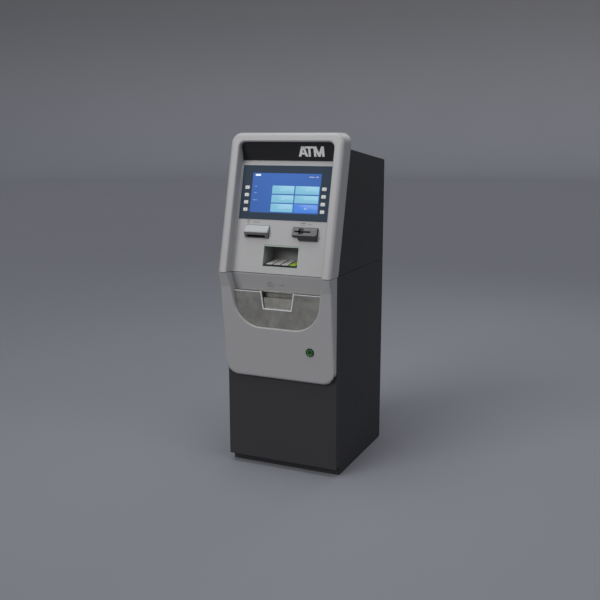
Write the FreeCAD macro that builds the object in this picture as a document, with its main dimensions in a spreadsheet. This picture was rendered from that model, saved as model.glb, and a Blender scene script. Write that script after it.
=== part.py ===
"""A free-standing cash machine: a floor safe with a hinged door, and a head cabinet above it whose
sloping fascia swings open on a piano hinge. Millimetres, +Z up, the customer stands on the -Y side.
The origin is the middle of the footprint, on the floor."""
import FreeCAD
import Part
import Sketcher
import os
import re

# ---------------------------------------------------------------- driving dimensions
SIZES = {
    # whole machine
    "cabinet_width": 500,
    "overall_depth": 640,
    "overall_height": 1418,
    "seam_height": 853,          # top of the safe, underside of the head
    "seam_gap": 1.5,             # visible joint between head and safe fronts
    # head cabinet
    "fascia_tilt": 14,           # degrees that the fascia leans back
    "fascia_overhang": 120,      # how far the fascia's foot stands ahead of the safe's front
    "head_front_drop": 65,       # from the moulding's top down to the head's front and rear edges
    "head_rear_drop": 116,
    "sheet": 2.5,
    "rear_inset": 14,            # rear wall sits this far inside the cabinet's rear edges
    "base_inset": 6,
    # fascia moulding
    "shell_depth": 80,
    "shell_flare": 3,            # moulding stands wider than the cabinet by this, each side
    "shell_wall": 4,
    "shell_gap": 1,              # between moulding and cabinet
    "rail_inner_half": 212,      # half width between the two side rails
    "recess_rim_radius": 7,
    "panel_side_radius": 5,
    "panel_recess": 44,          # how far the panel lies behind the rails
    "top_corner_radius": 45,
    "edge_radius": 17,
    "top_rim": 37,               # moulding above the marquee
    "marquee_height": 75,
    "marquee_head_recess": 22,
    "marquee_foot_recess": 58,
    "marquee_corner_radius": 25,
    "marquee_thickness": 3,
    "ledge_height": 20,          # sloping ledge between marquee and panel
    "trim_clearance": 0.4,
    # display group, measured up the panel from the seam
    "bezel_half_width": 200,
    "bezel_foot": 222,
    "bezel_length": 224,
    "bezel_thickness": 2,
    "bezel_border": 13,          # bezel resting on the panel round its window
    "screen_half_width": 154.5,
    "screen_foot": 250.5,
    "screen_length": 164.5,
    "lcd_frame": 8,
    "lcd_thickness": 22,
    "side_key_x": 172.5,
    "side_key_foot": 260.5,      # middle of the lowest side key
    "side_key_pitch": 30.7,
    "side_key_width": 19,
    "side_key_length": 14,
    "side_key_proud": 2.5,
    "key_clearance": 0.35,
    # receipt outlet and card reader
    "slot_module_x": 108,        # receipt on the left, card on the right
    "slot_module_width": 108,
    "slot_module_foot": 146,
    "slot_module_length": 50,
    "receipt_nose": 22,
    "receipt_chin": 8,
    "receipt_chin_lip": 1,
    "receipt_slot": 8,
    "receipt_slot_width": 84,
    "card_nose": 13,
    "card_chin_nose": 24,
    "card_slot": 6,
    "card_slot_width": 70,
    "card_slot_rise": 31,        # slot above the bezel's foot
    "card_notch_width": 22,
    "printer_depth": 92,
    "printer_height": 62,
    "reader_depth": 118,
    "reader_height": 36,
    "reader_width": 86,
    "paper_roll_radius": 28,
    "paper_roll_width": 80,
    "spindle_radius": 4,
    "running_clearance": 0.05,
    # keypad recess
    "tub_centre_x": 8,
    "tub_half_width": 77,
    "tub_foot_height": 882,
    "tub_mouth_height": 83,
    "tub_depth": 106,
    "tub_wall": 2.5,
    "tub_floor_slope": 6,        # degrees that the keypad rises towards the rear
    "keypad_margin": 4,
    "keypad_thickness": 6,
    "pin_key_width": 28,
    "pin_key_length": 15,
    "pin_key_pitch_x": 35,
    "pin_key_pitch_y": 21.5,
    "pin_key_height": 6,
    "pin_key_proud": 2.2,
    "pin_key_travel": 1,
    # safe
    "safe_wall": 6,
    "jamb_width": 35,
    "sill_height": 62,
    "lintel_drop": 25,           # opening's top below the top of the safe
    "anchor_x": 180,
    "anchor_y": 170,
    "anchor_radius": 7,
    "cable_radius": 20,
    "cable_x": 120,
    "cable_y": 230,
    # safe door
    "door_thickness": 40,
    "door_skin": 3,
    "door_gap": 1,
    "door_bottom": 37,
    "door_lip": 18,
    "pivot_inset": 7,
    "pivot_setback": 9,
    "pivot_radius": 3.5,
    "pivot_length": 16,
    # apron moulding on the door
    "backing_thickness": 11,
    "apron_bottom": 405,
    "apron_foot_overhang": 59,
    "apron_lean": 6.4,           # degrees that the apron leans out towards its top
    "brow_height": 793,          # where the apron breaks outwards to meet the fascia
    "apron_corner_radius": 60,
    "apron_front_radius": 14,
    "pocket_bottom": 627,
    "pocket_corner_radius": 118,
    "pocket_rim_radius": 5,
    "pocket_taper": 9.3,         # degrees that the pocket's sides close in
    # steel plate and cash outlet
    "plate_overhang": 76,
    "plate_top": 779,
    "plate_thickness": 2,
    "plate_ledge": 17,
    "brow_setback": 56,          # foot of the strip above the plate, ahead of the safe's front
    "outlet_top_half": 71,
    "outlet_foot_half": 60,
    "outlet_height": 70,
    "outlet_rim": 1.6,
    "outlet_rim_depth": 7,
    "scoop_rise": 43,            # upright panel in the outlet, below the mouth
    "scoop_setback": 3,
    "scoop_lean": 3,
    "tray_wall": 2,
    "shutter_thickness": 2,
    "shutter_pin_radius": 1.5,
    # lock
    "lock_x": 146,
    "lock_height": 541,
    "lock_ring_radius": 17,
    "lock_sleeve_radius": 12,
    "lock_cylinder_radius": 8,
    "cam_radius": 14.14,
    "cam_pin_radius": 3,
    "cam_play": 0.8,
    "bolt_radius": 6,
    "bolt_setback": 18,
    "strike_thickness": 6,
    "strike_x": 222,
    # piano hinge of the fascia
    "hinge_knuckle_radius": 3,
    "hinge_pin_radius": 1.4,
    "hinge_leaf": 1.5,
    "hinge_leaf_width": 24,
    "hinge_foot": 20,
    "seat_gap": 0.02,            # paint between a leaf and the wall that carries it
    "hinge_length": 428,
    # cash dispenser
    "dispenser_half_width": 110,
    "dispenser_front": 20,       # behind the safe's front
    "dispenser_depth": 380,
    "dispenser_plate": 3,
    "cassette_half_width": 92,
    "cassette_height": 120,
    "cassette_depth": 330,
    "cassette_shelf": 330,
    "reject_shelf": 480,
    "reject_height": 90,
    "roller_radius": 12,
    "roller_shaft_radius": 4,
    "roller_height": 742,
    "roller_setback": 46,
    # head electronics
    "fan_size": 80,
    "fan_depth": 25,
    "fan_bore_radius": 37,
    "fan_blade_radius": 35,
    "fan_hub_radius": 15,
    "fan_x": 130,
    "fan_height": 1160,
    "inlet_x": -150,
    "inlet_height": 905,
    "inlet_width": 27,
    "inlet_body_height": 20,
    "inlet_depth": 24,
    "board_thickness": 1.6,
    "standoff": 10,
    "board_inset": 35,
    "board_rise": 187,
    "board_width": 240,
    "board_height": 185,
    "supply_width": 110,
    "supply_depth": 190,
    "supply_height": 62,
    "screw_radius": 4,
    "screw_inset": 25,
    "screw_rise": 22,
}

doc = FreeCAD.newDocument("CashMachine")
sheet = doc.addObject("Spreadsheet::Sheet", "Sizes")
for row, (alias, value) in enumerate(SIZES.items(), start=1):
    sheet.set(f"A{row}", alias)
    sheet.set(f"B{row}", str(value))
    sheet.setAlias(f"B{row}", alias)
doc.recompute()

sub_parts = []
SKETCH_PLANE = {"yz": "YZ_Plane", "xz": "XZ_Plane", "xy": "XY_Plane"}


# ---------------------------------------------------------------- small modelling vocabulary
def bound(text):
    """An expression with every driving dimension pointed at its cell."""
    return re.sub(r"[a-z]\w*", lambda word: ("Sizes." if word[0] in SIZES else "") + word[0], str(text))


def number(text):
    """What an expression is worth at the sheet's present values."""
    return float(sheet.evalExpression(bound(text)))


def sub_part(name, solid):
    """Names an object as one of the machine's pieces."""
    solid.Label = name
    sub_parts.append(solid)
    return solid


def set_place(solid, x, y, z, turn_axis="1; 0; 0", turn=0):
    solid.setExpression("Placement", bound(
        f"placement(vector({x}; {y}; {z}); rotation(vector({turn_axis}); {turn}))"))
    return solid


def prism(plane, outline, low, high):
    """A body whose straight-sided outline lies in the plane and is padded from low to high along
    the third axis."""
    body = doc.addObject("PartDesign::Body", "Prism")
    sketch = body.newObject("Sketcher::SketchObject", "Outline")
    sketch.AttachmentSupport = [(feature, "") for feature in body.Origin.OriginFeatures
                                if feature.Role == SKETCH_PLANE[plane]]
    sketch.MapMode = "FlatFace"
    corners = [FreeCAD.Vector(number(u), number(v), 0) for u, v in outline]
    count = len(corners)
    for i in range(count):
        sketch.addGeometry(Part.LineSegment(corners[i], corners[(i + 1) % count]), False)
    for i in range(count):
        sketch.addConstraint(Sketcher.Constraint("Coincident", i, 2, (i + 1) % count, 1))
    for i, (u, v) in enumerate(outline):
        for kind, text, value in (("DistanceX", u, corners[i].x), ("DistanceY", v, corners[i].y)):
            index = sketch.addConstraint(Sketcher.Constraint(kind, -1, 1, i, 1, value))
            sketch.setExpression(f"Constraints[{index}]", bound(text))
    # the XZ plane's normal points to -Y
    offset = f"-({high})" if plane == "xz" else low
    sketch.setExpression("AttachmentOffset.Base.z", bound(offset))
    pad = body.newObject("PartDesign::Pad", "Pad")
    pad.Profile = sketch
    pad.setExpression("Length", bound(f"({high}) - ({low})"))
    body.Tip = pad
    doc.recompute()
    return body


def rounded(body, radius, chosen):
    """Rounds the edges of the body's tip that the test picks."""
    tip = body.Tip
    names = [f"Edge{i}" for i, edge in enumerate(tip.Shape.Edges, start=1) if chosen(edge)]
    fillet = body.newObject("PartDesign::Fillet", "Rounding")
    fillet.Base = (tip, names)
    fillet.setExpression("Radius", bound(radius))
    body.Tip = fillet
    doc.recompute()
    return body


def carved(body, *tools):
    """Cuts tools out of a body as features of its own, so that the new rims can be rounded."""
    for tool in tools:
        boolean = body.newObject("PartDesign::Boolean", "Carving")
        boolean.setObjects([tool])
        boolean.Type = "Cut"
        body.Tip = boolean
    doc.recompute()
    return body


def runs_along(edge, axis):
    """True for an edge that is straight along the axis."""
    box = edge.BoundBox
    across = {"x": (box.YLength, box.ZLength), "y": (box.XLength, box.ZLength),
              "z": (box.XLength, box.YLength)}[axis]
    return max(across) < 0.01


def near(value, text):
    return abs(value - number(text)) < 0.01


def block(x, y, z):
    """A box from its low and high limits along each axis."""
    box = doc.addObject("Part::Box", "Block")
    for side, (low, high) in zip(("Length", "Width", "Height"), (x, y, z)):
        box.setExpression(side, bound(f"({high}) - ({low})"))
    return set_place(box, x[0], y[0], z[0])


def rod(axis, low, high, across, radius):
    """A cylinder along an axis from low to high. Across gives its middle on the other two axes."""
    cylinder = doc.addObject("Part::Cylinder", "Rod")
    cylinder.setExpression("Radius", bound(radius))
    cylinder.setExpression("Height", bound(f"({high}) - ({low})"))
    first, second = across
    if axis == "x":
        return set_place(cylinder, low, first, second, "0; 1; 0", 90)
    if axis == "y":
        return set_place(cylinder, first, low, second, "1; 0; 0", -90)
    return set_place(cylinder, first, second, low)


def join(*solids):
    if len(solids) == 1:
        return group(*solids)
    fusion = doc.addObject("Part::MultiFuse", "Joined")
    fusion.Shapes = list(solids)
    fusion.Refine = True
    return fusion


def cut(base, *tools):
    result = doc.addObject("Part::Cut", "Cut")
    result.Base = base
    result.Tool = tools[0] if len(tools) == 1 else join(*tools)
    return result


def overlap(first, second):
    result = doc.addObject("Part::Common", "Common")
    result.Base = first
    result.Tool = second
    return result


def group(*solids):
    """Separate solids that share one node."""
    compound = doc.addObject("Part::Compound", "Group")
    compound.Links = list(solids)
    return compound


# ---------------------------------------------------------------- shared places
half = "cabinet_width/2"
front = "(fascia_overhang - overall_depth/2)"
back = "(overall_depth/2)"
shell_half = "(cabinet_width/2 + shell_flare)"
fascia_bottom = "(seam_height + seam_gap/2)"
door_top = "(seam_height - seam_gap)"
marquee_top = "(overall_height - top_rim)"
marquee_bottom = "(overall_height - top_rim - marquee_height)"
panel_top = "(overall_height - top_rim - marquee_height - ledge_height)"
rear_wall_y = "(overall_depth/2 - rear_inset)"
head_front_top = "(overall_height - head_front_drop)"
head_rear_top = "(overall_height - head_rear_drop)"
OVERRUN = 12          # how far a cutting tool runs past what it cuts


def rail_y(z):
    """Front plane of the fascia's rails."""
    return f"({front} - fascia_overhang + (({z}) - seam_height)*tan(fascia_tilt))"


def panel_y(z):
    return f"({rail_y(z)} + panel_recess)"


def shell_back_y(z):
    return f"({rail_y(z)} + shell_depth)"


def head_front_y(z):
    return f"({shell_back_y(z)} + shell_gap)"


def apron_y(z):
    """Front plane of the apron below its brow."""
    return f"({front} - apron_foot_overhang - (({z}) - apron_bottom)*tan(apron_lean))"


def brow_y(z):
    """Front plane of the apron from its brow up to the seam."""
    lean = f"(({front} - fascia_overhang - {apron_y('brow_height')})/({door_top} - brow_height))"
    return f"({apron_y('brow_height')} + (({z}) - brow_height)*{lean})"


def front_outline(half_width, foot, head, middle="0"):
    """A rectangle seen from the front, centred across the machine unless its middle is given."""
    low = f"{middle} - {half_width}"
    high = f"{middle} + {half_width}"
    return [(low, foot), (high, foot), (high, head), (low, head)]


def on_fascia(solid):
    """Moves a piece built as (x, depth behind the panel, distance up the panel) to its place."""
    return set_place(solid, 0, panel_y("seam_height"), "seam_height", turn="-fascia_tilt")


# ---------------------------------------------------------------- safe
strike_hole = rod("x", "strike_x - 1", "strike_x + strike_thickness + 1",
                  (f"{front} - bolt_setback", "lock_height"), "bolt_radius + cam_play")
strike = cut(
    block(("strike_x", "strike_x + strike_thickness"),
          (f"{front} - bolt_setback - bolt_radius - 5", front),
          ("lock_height - 15", "lock_height + 15")),
    strike_hole)
safe_inside = ((f"safe_wall - {half}", f"{half} - safe_wall"),
               (f"{front} + safe_wall", f"{back} - safe_wall"))
doorway = block((f"jamb_width - {half}", f"{half} - jamb_width"),
                (f"{front} - {OVERRUN}", f"{front} + safe_wall + {OVERRUN}"),
                ("sill_height", "seam_height - lintel_drop"))
safe_walls = cut(block((f"-{half}", half), (front, back), (0, "seam_height")),
                 block(*safe_inside, (-OVERRUN, f"seam_height + {OVERRUN}")), doorway)
sub_part("safe_body", join(safe_walls, strike))

# its floor and roof plates, let in between the walls and welded to them
anchor_holes = [rod("z", -OVERRUN, f"safe_wall + {OVERRUN}", (anchor_x, anchor_y), "anchor_radius")
                for anchor_x in ("-anchor_x", "anchor_x") for anchor_y in ("-anchor_y", "anchor_y")]
safe_floor = cut(block(*safe_inside, (0, "safe_wall")), *anchor_holes)
safe_roof = cut(block(*safe_inside, ("seam_height - safe_wall", "seam_height")),
                rod("z", f"seam_height - safe_wall - {OVERRUN}", f"seam_height + {OVERRUN}",
                    ("cable_x", "cable_y"), "cable_radius"))
sub_part("safe_decks", group(safe_floor, safe_roof))

# pivot pins of the safe door: one stands on a lug below it, one hangs from the head's floor
pivot_place = (f"pivot_inset - {half}", f"{front} - pivot_setback")
lug = block((f"-{half}", f"2*pivot_inset - {half}"),
            (f"{front} - pivot_setback - pivot_inset", front),
            ("door_bottom - door_gap - 8", "door_bottom - door_gap"))
lower_pin = rod("z", "door_bottom - door_gap - 8", "door_bottom + pivot_length", pivot_place, "pivot_radius")
upper_pin = join(
    rod("z", f"{door_top} - pivot_length", "seam_height + base_inset", pivot_place, "pivot_radius"),
    rod("z", "seam_height + sheet", "seam_height + base_inset", pivot_place, "pivot_radius + 0.9"))
sub_part("door_pivots", group(join(lug, lower_pin), upper_pin))

# ---------------------------------------------------------------- head cabinet
head_foot = "(seam_height + seam_gap)"


def head_outline(inset, rear, foot):
    """Side outline of the head, brought in from its top, rear and foot. Its front stays open."""
    forward = OVERRUN if inset != "0" else 0
    return [(f"{head_front_y(foot)} - {forward}", foot),
            (f"{head_front_y(head_front_top)} - {forward}",
             f"{head_front_top} - {inset} + {forward}*(head_rear_drop - head_front_drop)/overall_depth"),
            (rear, f"{head_rear_top} - {inset}"),
            (rear, foot)]


head_shell = prism("yz", head_outline("0", back, head_foot), f"-{half}", half)
head_hollow = prism("yz", head_outline("sheet", rear_wall_y, "(seam_height + sheet)"),
                    f"sheet - {half}", f"{half} - sheet")
rear_pocket = block((f"sheet - {half}", f"{half} - sheet"),
                    (f"{rear_wall_y} + sheet", f"{back} + {OVERRUN}"),
                    (f"{head_foot} + sheet", f"{head_rear_top} - sheet"))
head_base = block((f"base_inset - {half}", f"{half} - base_inset"),
                  (f"{head_front_y('seam_height')} + base_inset", f"{back} - base_inset"),
                  ("seam_height", "seam_height + sheet"))
fan_opening = rod("y", f"{rear_wall_y} - {OVERRUN}", f"{back} + {OVERRUN}", ("fan_x", "fan_height"),
                  "fan_bore_radius")
inlet_half = "(inlet_width/2 + trim_clearance)"
inlet_rise = "(inlet_body_height/2 + trim_clearance)"
inlet_opening = block((f"inlet_x - {inlet_half}", f"inlet_x + {inlet_half}"),
                      (f"{rear_wall_y} - {OVERRUN}", f"{back} + {OVERRUN}"),
                      (f"inlet_height - {inlet_rise}", f"inlet_height + {inlet_rise}"))
VENT_COUNT = 9
vents = []
for index in range(VENT_COUNT):
    foot = f"(seam_height + 110 + {index}*13)"
    vents.append(block(("fan_x - 45", "fan_x + 45"),
                       (f"{rear_wall_y} - {OVERRUN}", f"{back} + {OVERRUN}"), (foot, f"{foot} + 5")))
hinge_notch_radius = "(hinge_knuckle_radius + 0.6)"
hinge_line_y = f"({shell_back_y('seam_height')} + shell_gap/2)"


def on_hinge(solid):
    """Moves a piece built along the Z axis onto the fascia's sloping hinge line."""
    return set_place(solid, half, hinge_line_y, "seam_height", turn="-fascia_tilt")


def hinge_notch():
    return on_hinge(join(rod("z", "hinge_foot - 2", "hinge_foot + hinge_length + 2", (0, 0),
                             hinge_notch_radius)))


pivot_hole = rod("z", f"seam_height - {OVERRUN}", f"seam_height + {OVERRUN}", pivot_place,
                 "pivot_radius + running_clearance")
head_cable_hole = rod("z", f"seam_height - {OVERRUN}", f"seam_height + {OVERRUN}",
                      ("cable_x", "cable_y"), "cable_radius")
head_walls = cut(head_shell, head_hollow, rear_pocket)
sub_part("head_cabinet", cut(join(head_walls, head_base), fan_opening, inlet_opening, *vents,
                             hinge_notch(), pivot_hole, head_cable_hole))

# ---------------------------------------------------------------- fascia moulding
fascia_shell = prism("yz", [(rail_y(fascia_bottom), fascia_bottom),
                            (rail_y("overall_height"), "overall_height"),
                            (shell_back_y("overall_height"), "overall_height"),
                            (shell_back_y(fascia_bottom), fascia_bottom)],
                     f"-{shell_half}", shell_half)
rounded(fascia_shell, "top_corner_radius",
        lambda edge: runs_along(edge, "y") and near(edge.BoundBox.ZMax, "overall_height"))


def on_rail_front(edge):
    """Edges that lie in the rails' front plane, apart from the one along the seam."""
    points = [vertex.Point for vertex in edge.Vertexes]
    ahead = all(abs(point.y - number(rail_y(point.z))) < 0.01 for point in points)
    return ahead and not (runs_along(edge, "x") and near(edge.BoundBox.ZMax, fascia_bottom))


rounded(fascia_shell, "edge_radius", on_rail_front)

marquee_foot_y = f"({rail_y(marquee_bottom)} + marquee_foot_recess)"
marquee_head_y = f"({rail_y(marquee_top)} + marquee_head_recess)"
below_seam = f"(seam_height - {OVERRUN})"
recess_outline = [(panel_y(below_seam), below_seam), (panel_y(panel_top), panel_top),
                  (marquee_foot_y, marquee_bottom), (marquee_head_y, marquee_top),
                  (f"{rail_y(below_seam)} - {OVERRUN}", marquee_top),
                  (f"{rail_y(below_seam)} - {OVERRUN}", below_seam)]
recess = prism("yz", recess_outline, "-rail_inner_half", "rail_inner_half")
rounded(recess, "marquee_corner_radius",
        lambda edge: runs_along(edge, "y") and near(edge.BoundBox.ZMax, marquee_top))


def on_panel_side(edge):
    """The recess's edges where the panel meets its side walls."""
    ends = [vertex.Point for vertex in edge.Vertexes]
    return (near(abs(ends[0].x), "rail_inner_half") and near(abs(ends[1].x), "rail_inner_half")
            and all(near(end.y, panel_y(end.z)) for end in ends) and edge.BoundBox.ZLength > 100)


rounded(recess, "panel_side_radius", on_panel_side)
carved(fascia_shell, recess)


def on_recess_rim(edge):
    """The recess's edge in the front plane: up both rails and across under the top rim."""
    points = [vertex.Point for vertex in edge.Vertexes]
    ahead = all(near(point.y, rail_y(point.z)) for point in points)
    inside = max(abs(point.x) for point in points) < number("rail_inner_half + 1")
    return ahead and inside and max(point.z for point in points) > number(f"{fascia_bottom} + 1")


rounded(fascia_shell, "recess_rim_radius", on_recess_rim)

closed_above = f"({head_front_top} - 2*shell_wall)"
inside_half = f"({shell_half} - shell_wall)"
panel_hollow = prism("yz", [
    (f"{panel_y(below_seam)} + shell_wall", below_seam),
    (f"{panel_y(panel_top)} + shell_wall", panel_top),
    (f"{marquee_foot_y} + shell_wall", marquee_bottom),
    (f"{marquee_head_y} + shell_wall", marquee_top),
    (f"{shell_back_y(marquee_top)} - shell_wall", marquee_top),
    (f"{shell_back_y(closed_above)} - shell_wall", closed_above),
    (f"{shell_back_y(closed_above)} + {OVERRUN}", closed_above),
    (f"{shell_back_y(below_seam)} + {OVERRUN}", below_seam)], f"-{inside_half}", inside_half)
rail_hollows = []
for low, high, outer in ((f"-{inside_half}", "-(rail_inner_half + shell_wall)", f"-{inside_half}"),
                         ("rail_inner_half + shell_wall", inside_half, inside_half)):
    hollow = prism("yz", [(f"{rail_y(below_seam)} + shell_wall", below_seam),
                          (f"{rail_y(marquee_top)} + shell_wall", marquee_top),
                          (f"{rail_y(marquee_top)} + panel_recess", marquee_top),
                          (f"{panel_y(below_seam)} + 2*shell_wall", below_seam)], low, high)
    rail_hollows.append(rounded(hollow, "edge_radius - shell_wall", lambda edge, outer=outer: (
        near(edge.BoundBox.XMin, outer) and near(edge.BoundBox.XMax, outer)
        and abs(edge.Vertexes[0].Y - number(f"{rail_y(edge.Vertexes[0].Z)} + shell_wall")) < 0.01
        and abs(edge.Vertexes[1].Y - number(f"{rail_y(edge.Vertexes[1].Z)} + shell_wall")) < 0.01)))
rim_low = f"({marquee_top} + shell_wall)"
rim_high = "(overall_height - shell_wall)"
rim_half = f"({shell_half} - top_corner_radius)"
rim_hollow = prism("yz", [(f"{rail_y(rim_low)} + shell_wall", rim_low),
                          (f"{rail_y(rim_high)} + edge_radius", rim_high),
                          (f"{shell_back_y(rim_high)} - shell_wall", rim_high),
                          (f"{shell_back_y(rim_low)} - shell_wall", rim_low)], f"-{rim_half}", rim_half)

window_foot = "(bezel_foot + bezel_border)"
window_head = "(bezel_foot + bezel_length - bezel_border)"
window_half = "(bezel_half_width - bezel_border)"
module_half = "slot_module_width/2"
module_head = "(slot_module_foot + slot_module_length)"
through_panel = (-OVERRUN, OVERRUN)
panel_cuts = on_fascia(join(
    block((f"-{window_half}", window_half), through_panel, (window_foot, window_head)),
    block((f"-slot_module_x - {module_half} + 8", f"-slot_module_x + {module_half} - 8"),
          through_panel, ("slot_module_foot + receipt_chin_lip", f"{module_head} - 8")),
    block((f"slot_module_x - {module_half} + 8", f"slot_module_x + {module_half} - 8"),
          through_panel, ("slot_module_foot + 8", f"{module_head} - 8"))))

tub_left = "(tub_centre_x - tub_half_width)"
tub_right = "(tub_centre_x + tub_half_width)"
tub_top = "(tub_foot_height + tub_mouth_height)"
tub_rise = "(tub_depth*tan(tub_floor_slope))"


def tub_outline(grow, forward):
    """Side outline of the keypad recess, grown outwards. Forward is how far it runs ahead of the
    panel's front."""
    foot = f"(tub_foot_height - ({grow}))"
    head = f"({tub_top} + ({grow}))"
    return [(f"{panel_y(foot)} - {forward}", f"{foot} - {forward}*tan(tub_floor_slope)"),
            (f"{panel_y(foot)} + tub_depth + ({grow})", f"{foot} + {tub_rise}"),
            (f"{panel_y(head)} + tub_depth + ({grow})", head),
            (f"{panel_y(head)} - {forward}", head)]


tub_mouth = prism("yz", tub_outline("tub_wall + trim_clearance", OVERRUN),
                  f"{tub_left} - tub_wall - trim_clearance", f"{tub_right} + tub_wall + trim_clearance")
sub_part("upper_fascia", cut(fascia_shell, panel_hollow, *rail_hollows, rim_hollow, panel_cuts,
                             tub_mouth, hinge_notch()))

marquee = prism("yz", [(marquee_foot_y, marquee_bottom), (marquee_head_y, marquee_top),
                       (f"{marquee_head_y} - marquee_thickness", marquee_top),
                       (f"{marquee_foot_y} - marquee_thickness", marquee_bottom)],
                "trim_clearance - rail_inner_half", "rail_inner_half - trim_clearance")
marquee_face = prism("xz", front_outline("(rail_inner_half - trim_clearance)",
                                         f"({marquee_bottom} + trim_clearance)",
                                         f"({marquee_top} - trim_clearance)"),
                     f"{marquee_head_y} - 40", f"{marquee_foot_y} + 40")
rounded(marquee_face, "marquee_corner_radius - trim_clearance",
        lambda edge: runs_along(edge, "y") and near(edge.BoundBox.ZMax, f"{marquee_top} - trim_clearance"))
sub_part("marquee_panel", overlap(marquee, marquee_face))

# ---------------------------------------------------------------- piano hinge of the fascia
KNUCKLES = 11
knuckle_pitch = f"(hinge_length/{KNUCKLES})"


def knuckle_run(first):
    """Every second knuckle, starting with the given one, 0.4 mm apart from its neighbours."""
    rings = []
    for index in range(first, KNUCKLES, 2):
        foot = f"(hinge_foot + {index}*{knuckle_pitch})"
        rings.append(rod("z", f"{foot} + 0.2", f"{foot} + {knuckle_pitch} - 0.2", (0, 0),
                         "hinge_knuckle_radius"))
    return rings


hinge_span = ("hinge_foot", "hinge_foot + hinge_length")
# both leaves lie inside: one on the moulding's wall, the other on the cabinet's
swing_face = "(shell_flare - shell_wall - seat_gap)"
fixed_face = "(-sheet)"
swing_x = (f"{swing_face} - hinge_leaf", swing_face)
fixed_x = (f"{fixed_face} - hinge_leaf", fixed_face)


def knuckle_webs(first, x, y):
    """Short plates that carry a leaf to every second knuckle."""
    return [block(x, y, (f"hinge_foot + {index}*{knuckle_pitch} + 0.2",
                         f"hinge_foot + {index + 1}*{knuckle_pitch} - 0.2"))
            for index in range(first, KNUCKLES, 2)]


fixed_leaf = join(block(fixed_x, ("hinge_knuckle_radius + 0.5", "hinge_leaf_width"), hinge_span),
                  *knuckle_webs(0, fixed_x, ("hinge_pin_radius", "hinge_knuckle_radius + 1")),
                  *knuckle_webs(0, (fixed_x[0], swing_face), ("hinge_pin_radius", "hinge_pin_radius + 1")),
                  *knuckle_run(0))
swing_leaf = join(block(swing_x, ("-hinge_leaf_width", "-hinge_knuckle_radius - 0.5"), hinge_span),
                  *knuckle_webs(1, swing_x, ("-hinge_knuckle_radius - 1", "-hinge_pin_radius")),
                  *knuckle_run(1))
hinge_pin = rod("z", "hinge_foot", "hinge_foot + hinge_length", (0, 0), "hinge_pin_radius")
hinge_bore = rod("z", "hinge_foot - 1", "hinge_foot + hinge_length + 1", (0, 0),
                 "hinge_pin_radius + running_clearance")
sub_part("hinge_cabinet_leaf", on_hinge(join(fixed_leaf, hinge_pin)))
sub_part("hinge_fascia_leaf", on_hinge(cut(swing_leaf, hinge_bore)))

# ---------------------------------------------------------------- display group
key_places = [(side, index) for side in ("left", "right") for index in range(4)]


def side_key_box(side, index, grow, depth):
    """Space of a side key in the panel's own axes, grown on all four sides."""
    middle_x = "-side_key_x" if side == "left" else "side_key_x"
    middle = f"(side_key_foot + {index}*side_key_pitch)"
    reach_x = f"(side_key_width/2 + {grow})"
    reach = f"(side_key_length/2 + {grow})"
    return prism("xz", [(f"{middle_x} - {reach_x}", f"{middle} - {reach}"),
                        (f"{middle_x} + {reach_x}", f"{middle} - {reach}"),
                        (f"{middle_x} + {reach_x}", f"{middle} + {reach}"),
                        (f"{middle_x} - {reach_x}", f"{middle} + {reach}")], *depth)


KEY_CORNER = 2.5
bezel_plate = block(("-bezel_half_width", "bezel_half_width"), ("-bezel_thickness", 0),
                    ("bezel_foot", "bezel_foot + bezel_length"))
screen_opening = block(("-screen_half_width", "screen_half_width"), through_panel,
                       ("screen_foot", "screen_foot + screen_length"))
key_openings = [rounded(side_key_box(side, index, "key_clearance", through_panel), KEY_CORNER,
                        lambda edge: runs_along(edge, "y")) for side, index in key_places]
sub_part("display_bezel", on_fascia(cut(bezel_plate, screen_opening, *key_openings)))
lcd_half = "(screen_half_width + lcd_frame - key_clearance)"
lcd_case = block((f"-{lcd_half}", lcd_half), (0, "lcd_thickness"),
                 ("screen_foot - lcd_frame", "screen_foot + screen_length + lcd_frame"))
lcd_glass = block(("trim_clearance - screen_half_width", "screen_half_width - trim_clearance"),
                  ("-bezel_thickness/2", 0),
                  ("screen_foot + trim_clearance", "screen_foot + screen_length - trim_clearance"))
lcd_driver = block((-70, 70), ("lcd_thickness", "lcd_thickness + 12"),
                   ("screen_foot + 40", "screen_foot + 130"))
sub_part("lcd_module", on_fascia(join(lcd_case, lcd_glass, lcd_driver)))
for side, index in key_places:
    cap = rounded(side_key_box(side, index, 0, ("-bezel_thickness - side_key_proud", 5)), KEY_CORNER,
                  lambda edge: runs_along(edge, "y"))
    rounded(cap, 0.8, lambda edge: near(edge.BoundBox.YMax, "-bezel_thickness - side_key_proud"))
    collar = side_key_box(side, index, 0.8, ("key_clearance", 2.5))
    sub_part(f"side_key_{side}_{index + 1}", on_fascia(join(cap, collar)))

# ---------------------------------------------------------------- receipt outlet and printer
receipt_left = f"(-slot_module_x - {module_half})"
receipt_right = f"(-slot_module_x + {module_half})"
receipt_shape = prism("yz", [(0, "slot_module_foot"), (0, module_head), (-4, module_head),
                             ("-receipt_nose", f"{module_head} - 27"),
                             ("-receipt_nose", f"{module_head} - 31"),
                             ("-receipt_chin", "slot_module_foot")], receipt_left, receipt_right)
rounded(receipt_shape, 4,
        lambda edge: edge.BoundBox.YMin < -1 and edge.BoundBox.XLength < 0.01)
paper_middle = "(slot_module_foot + receipt_chin_lip + receipt_slot/2)"
receipt_throat = block(("-slot_module_x - receipt_slot_width/2", "-slot_module_x + receipt_slot_width/2"),
                       ("-receipt_nose - 5", OVERRUN),
                       (f"{paper_middle} - receipt_slot/2", f"{paper_middle} + receipt_slot/2"))
sub_part("receipt_bezel", on_fascia(cut(receipt_shape, receipt_throat)))

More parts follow.
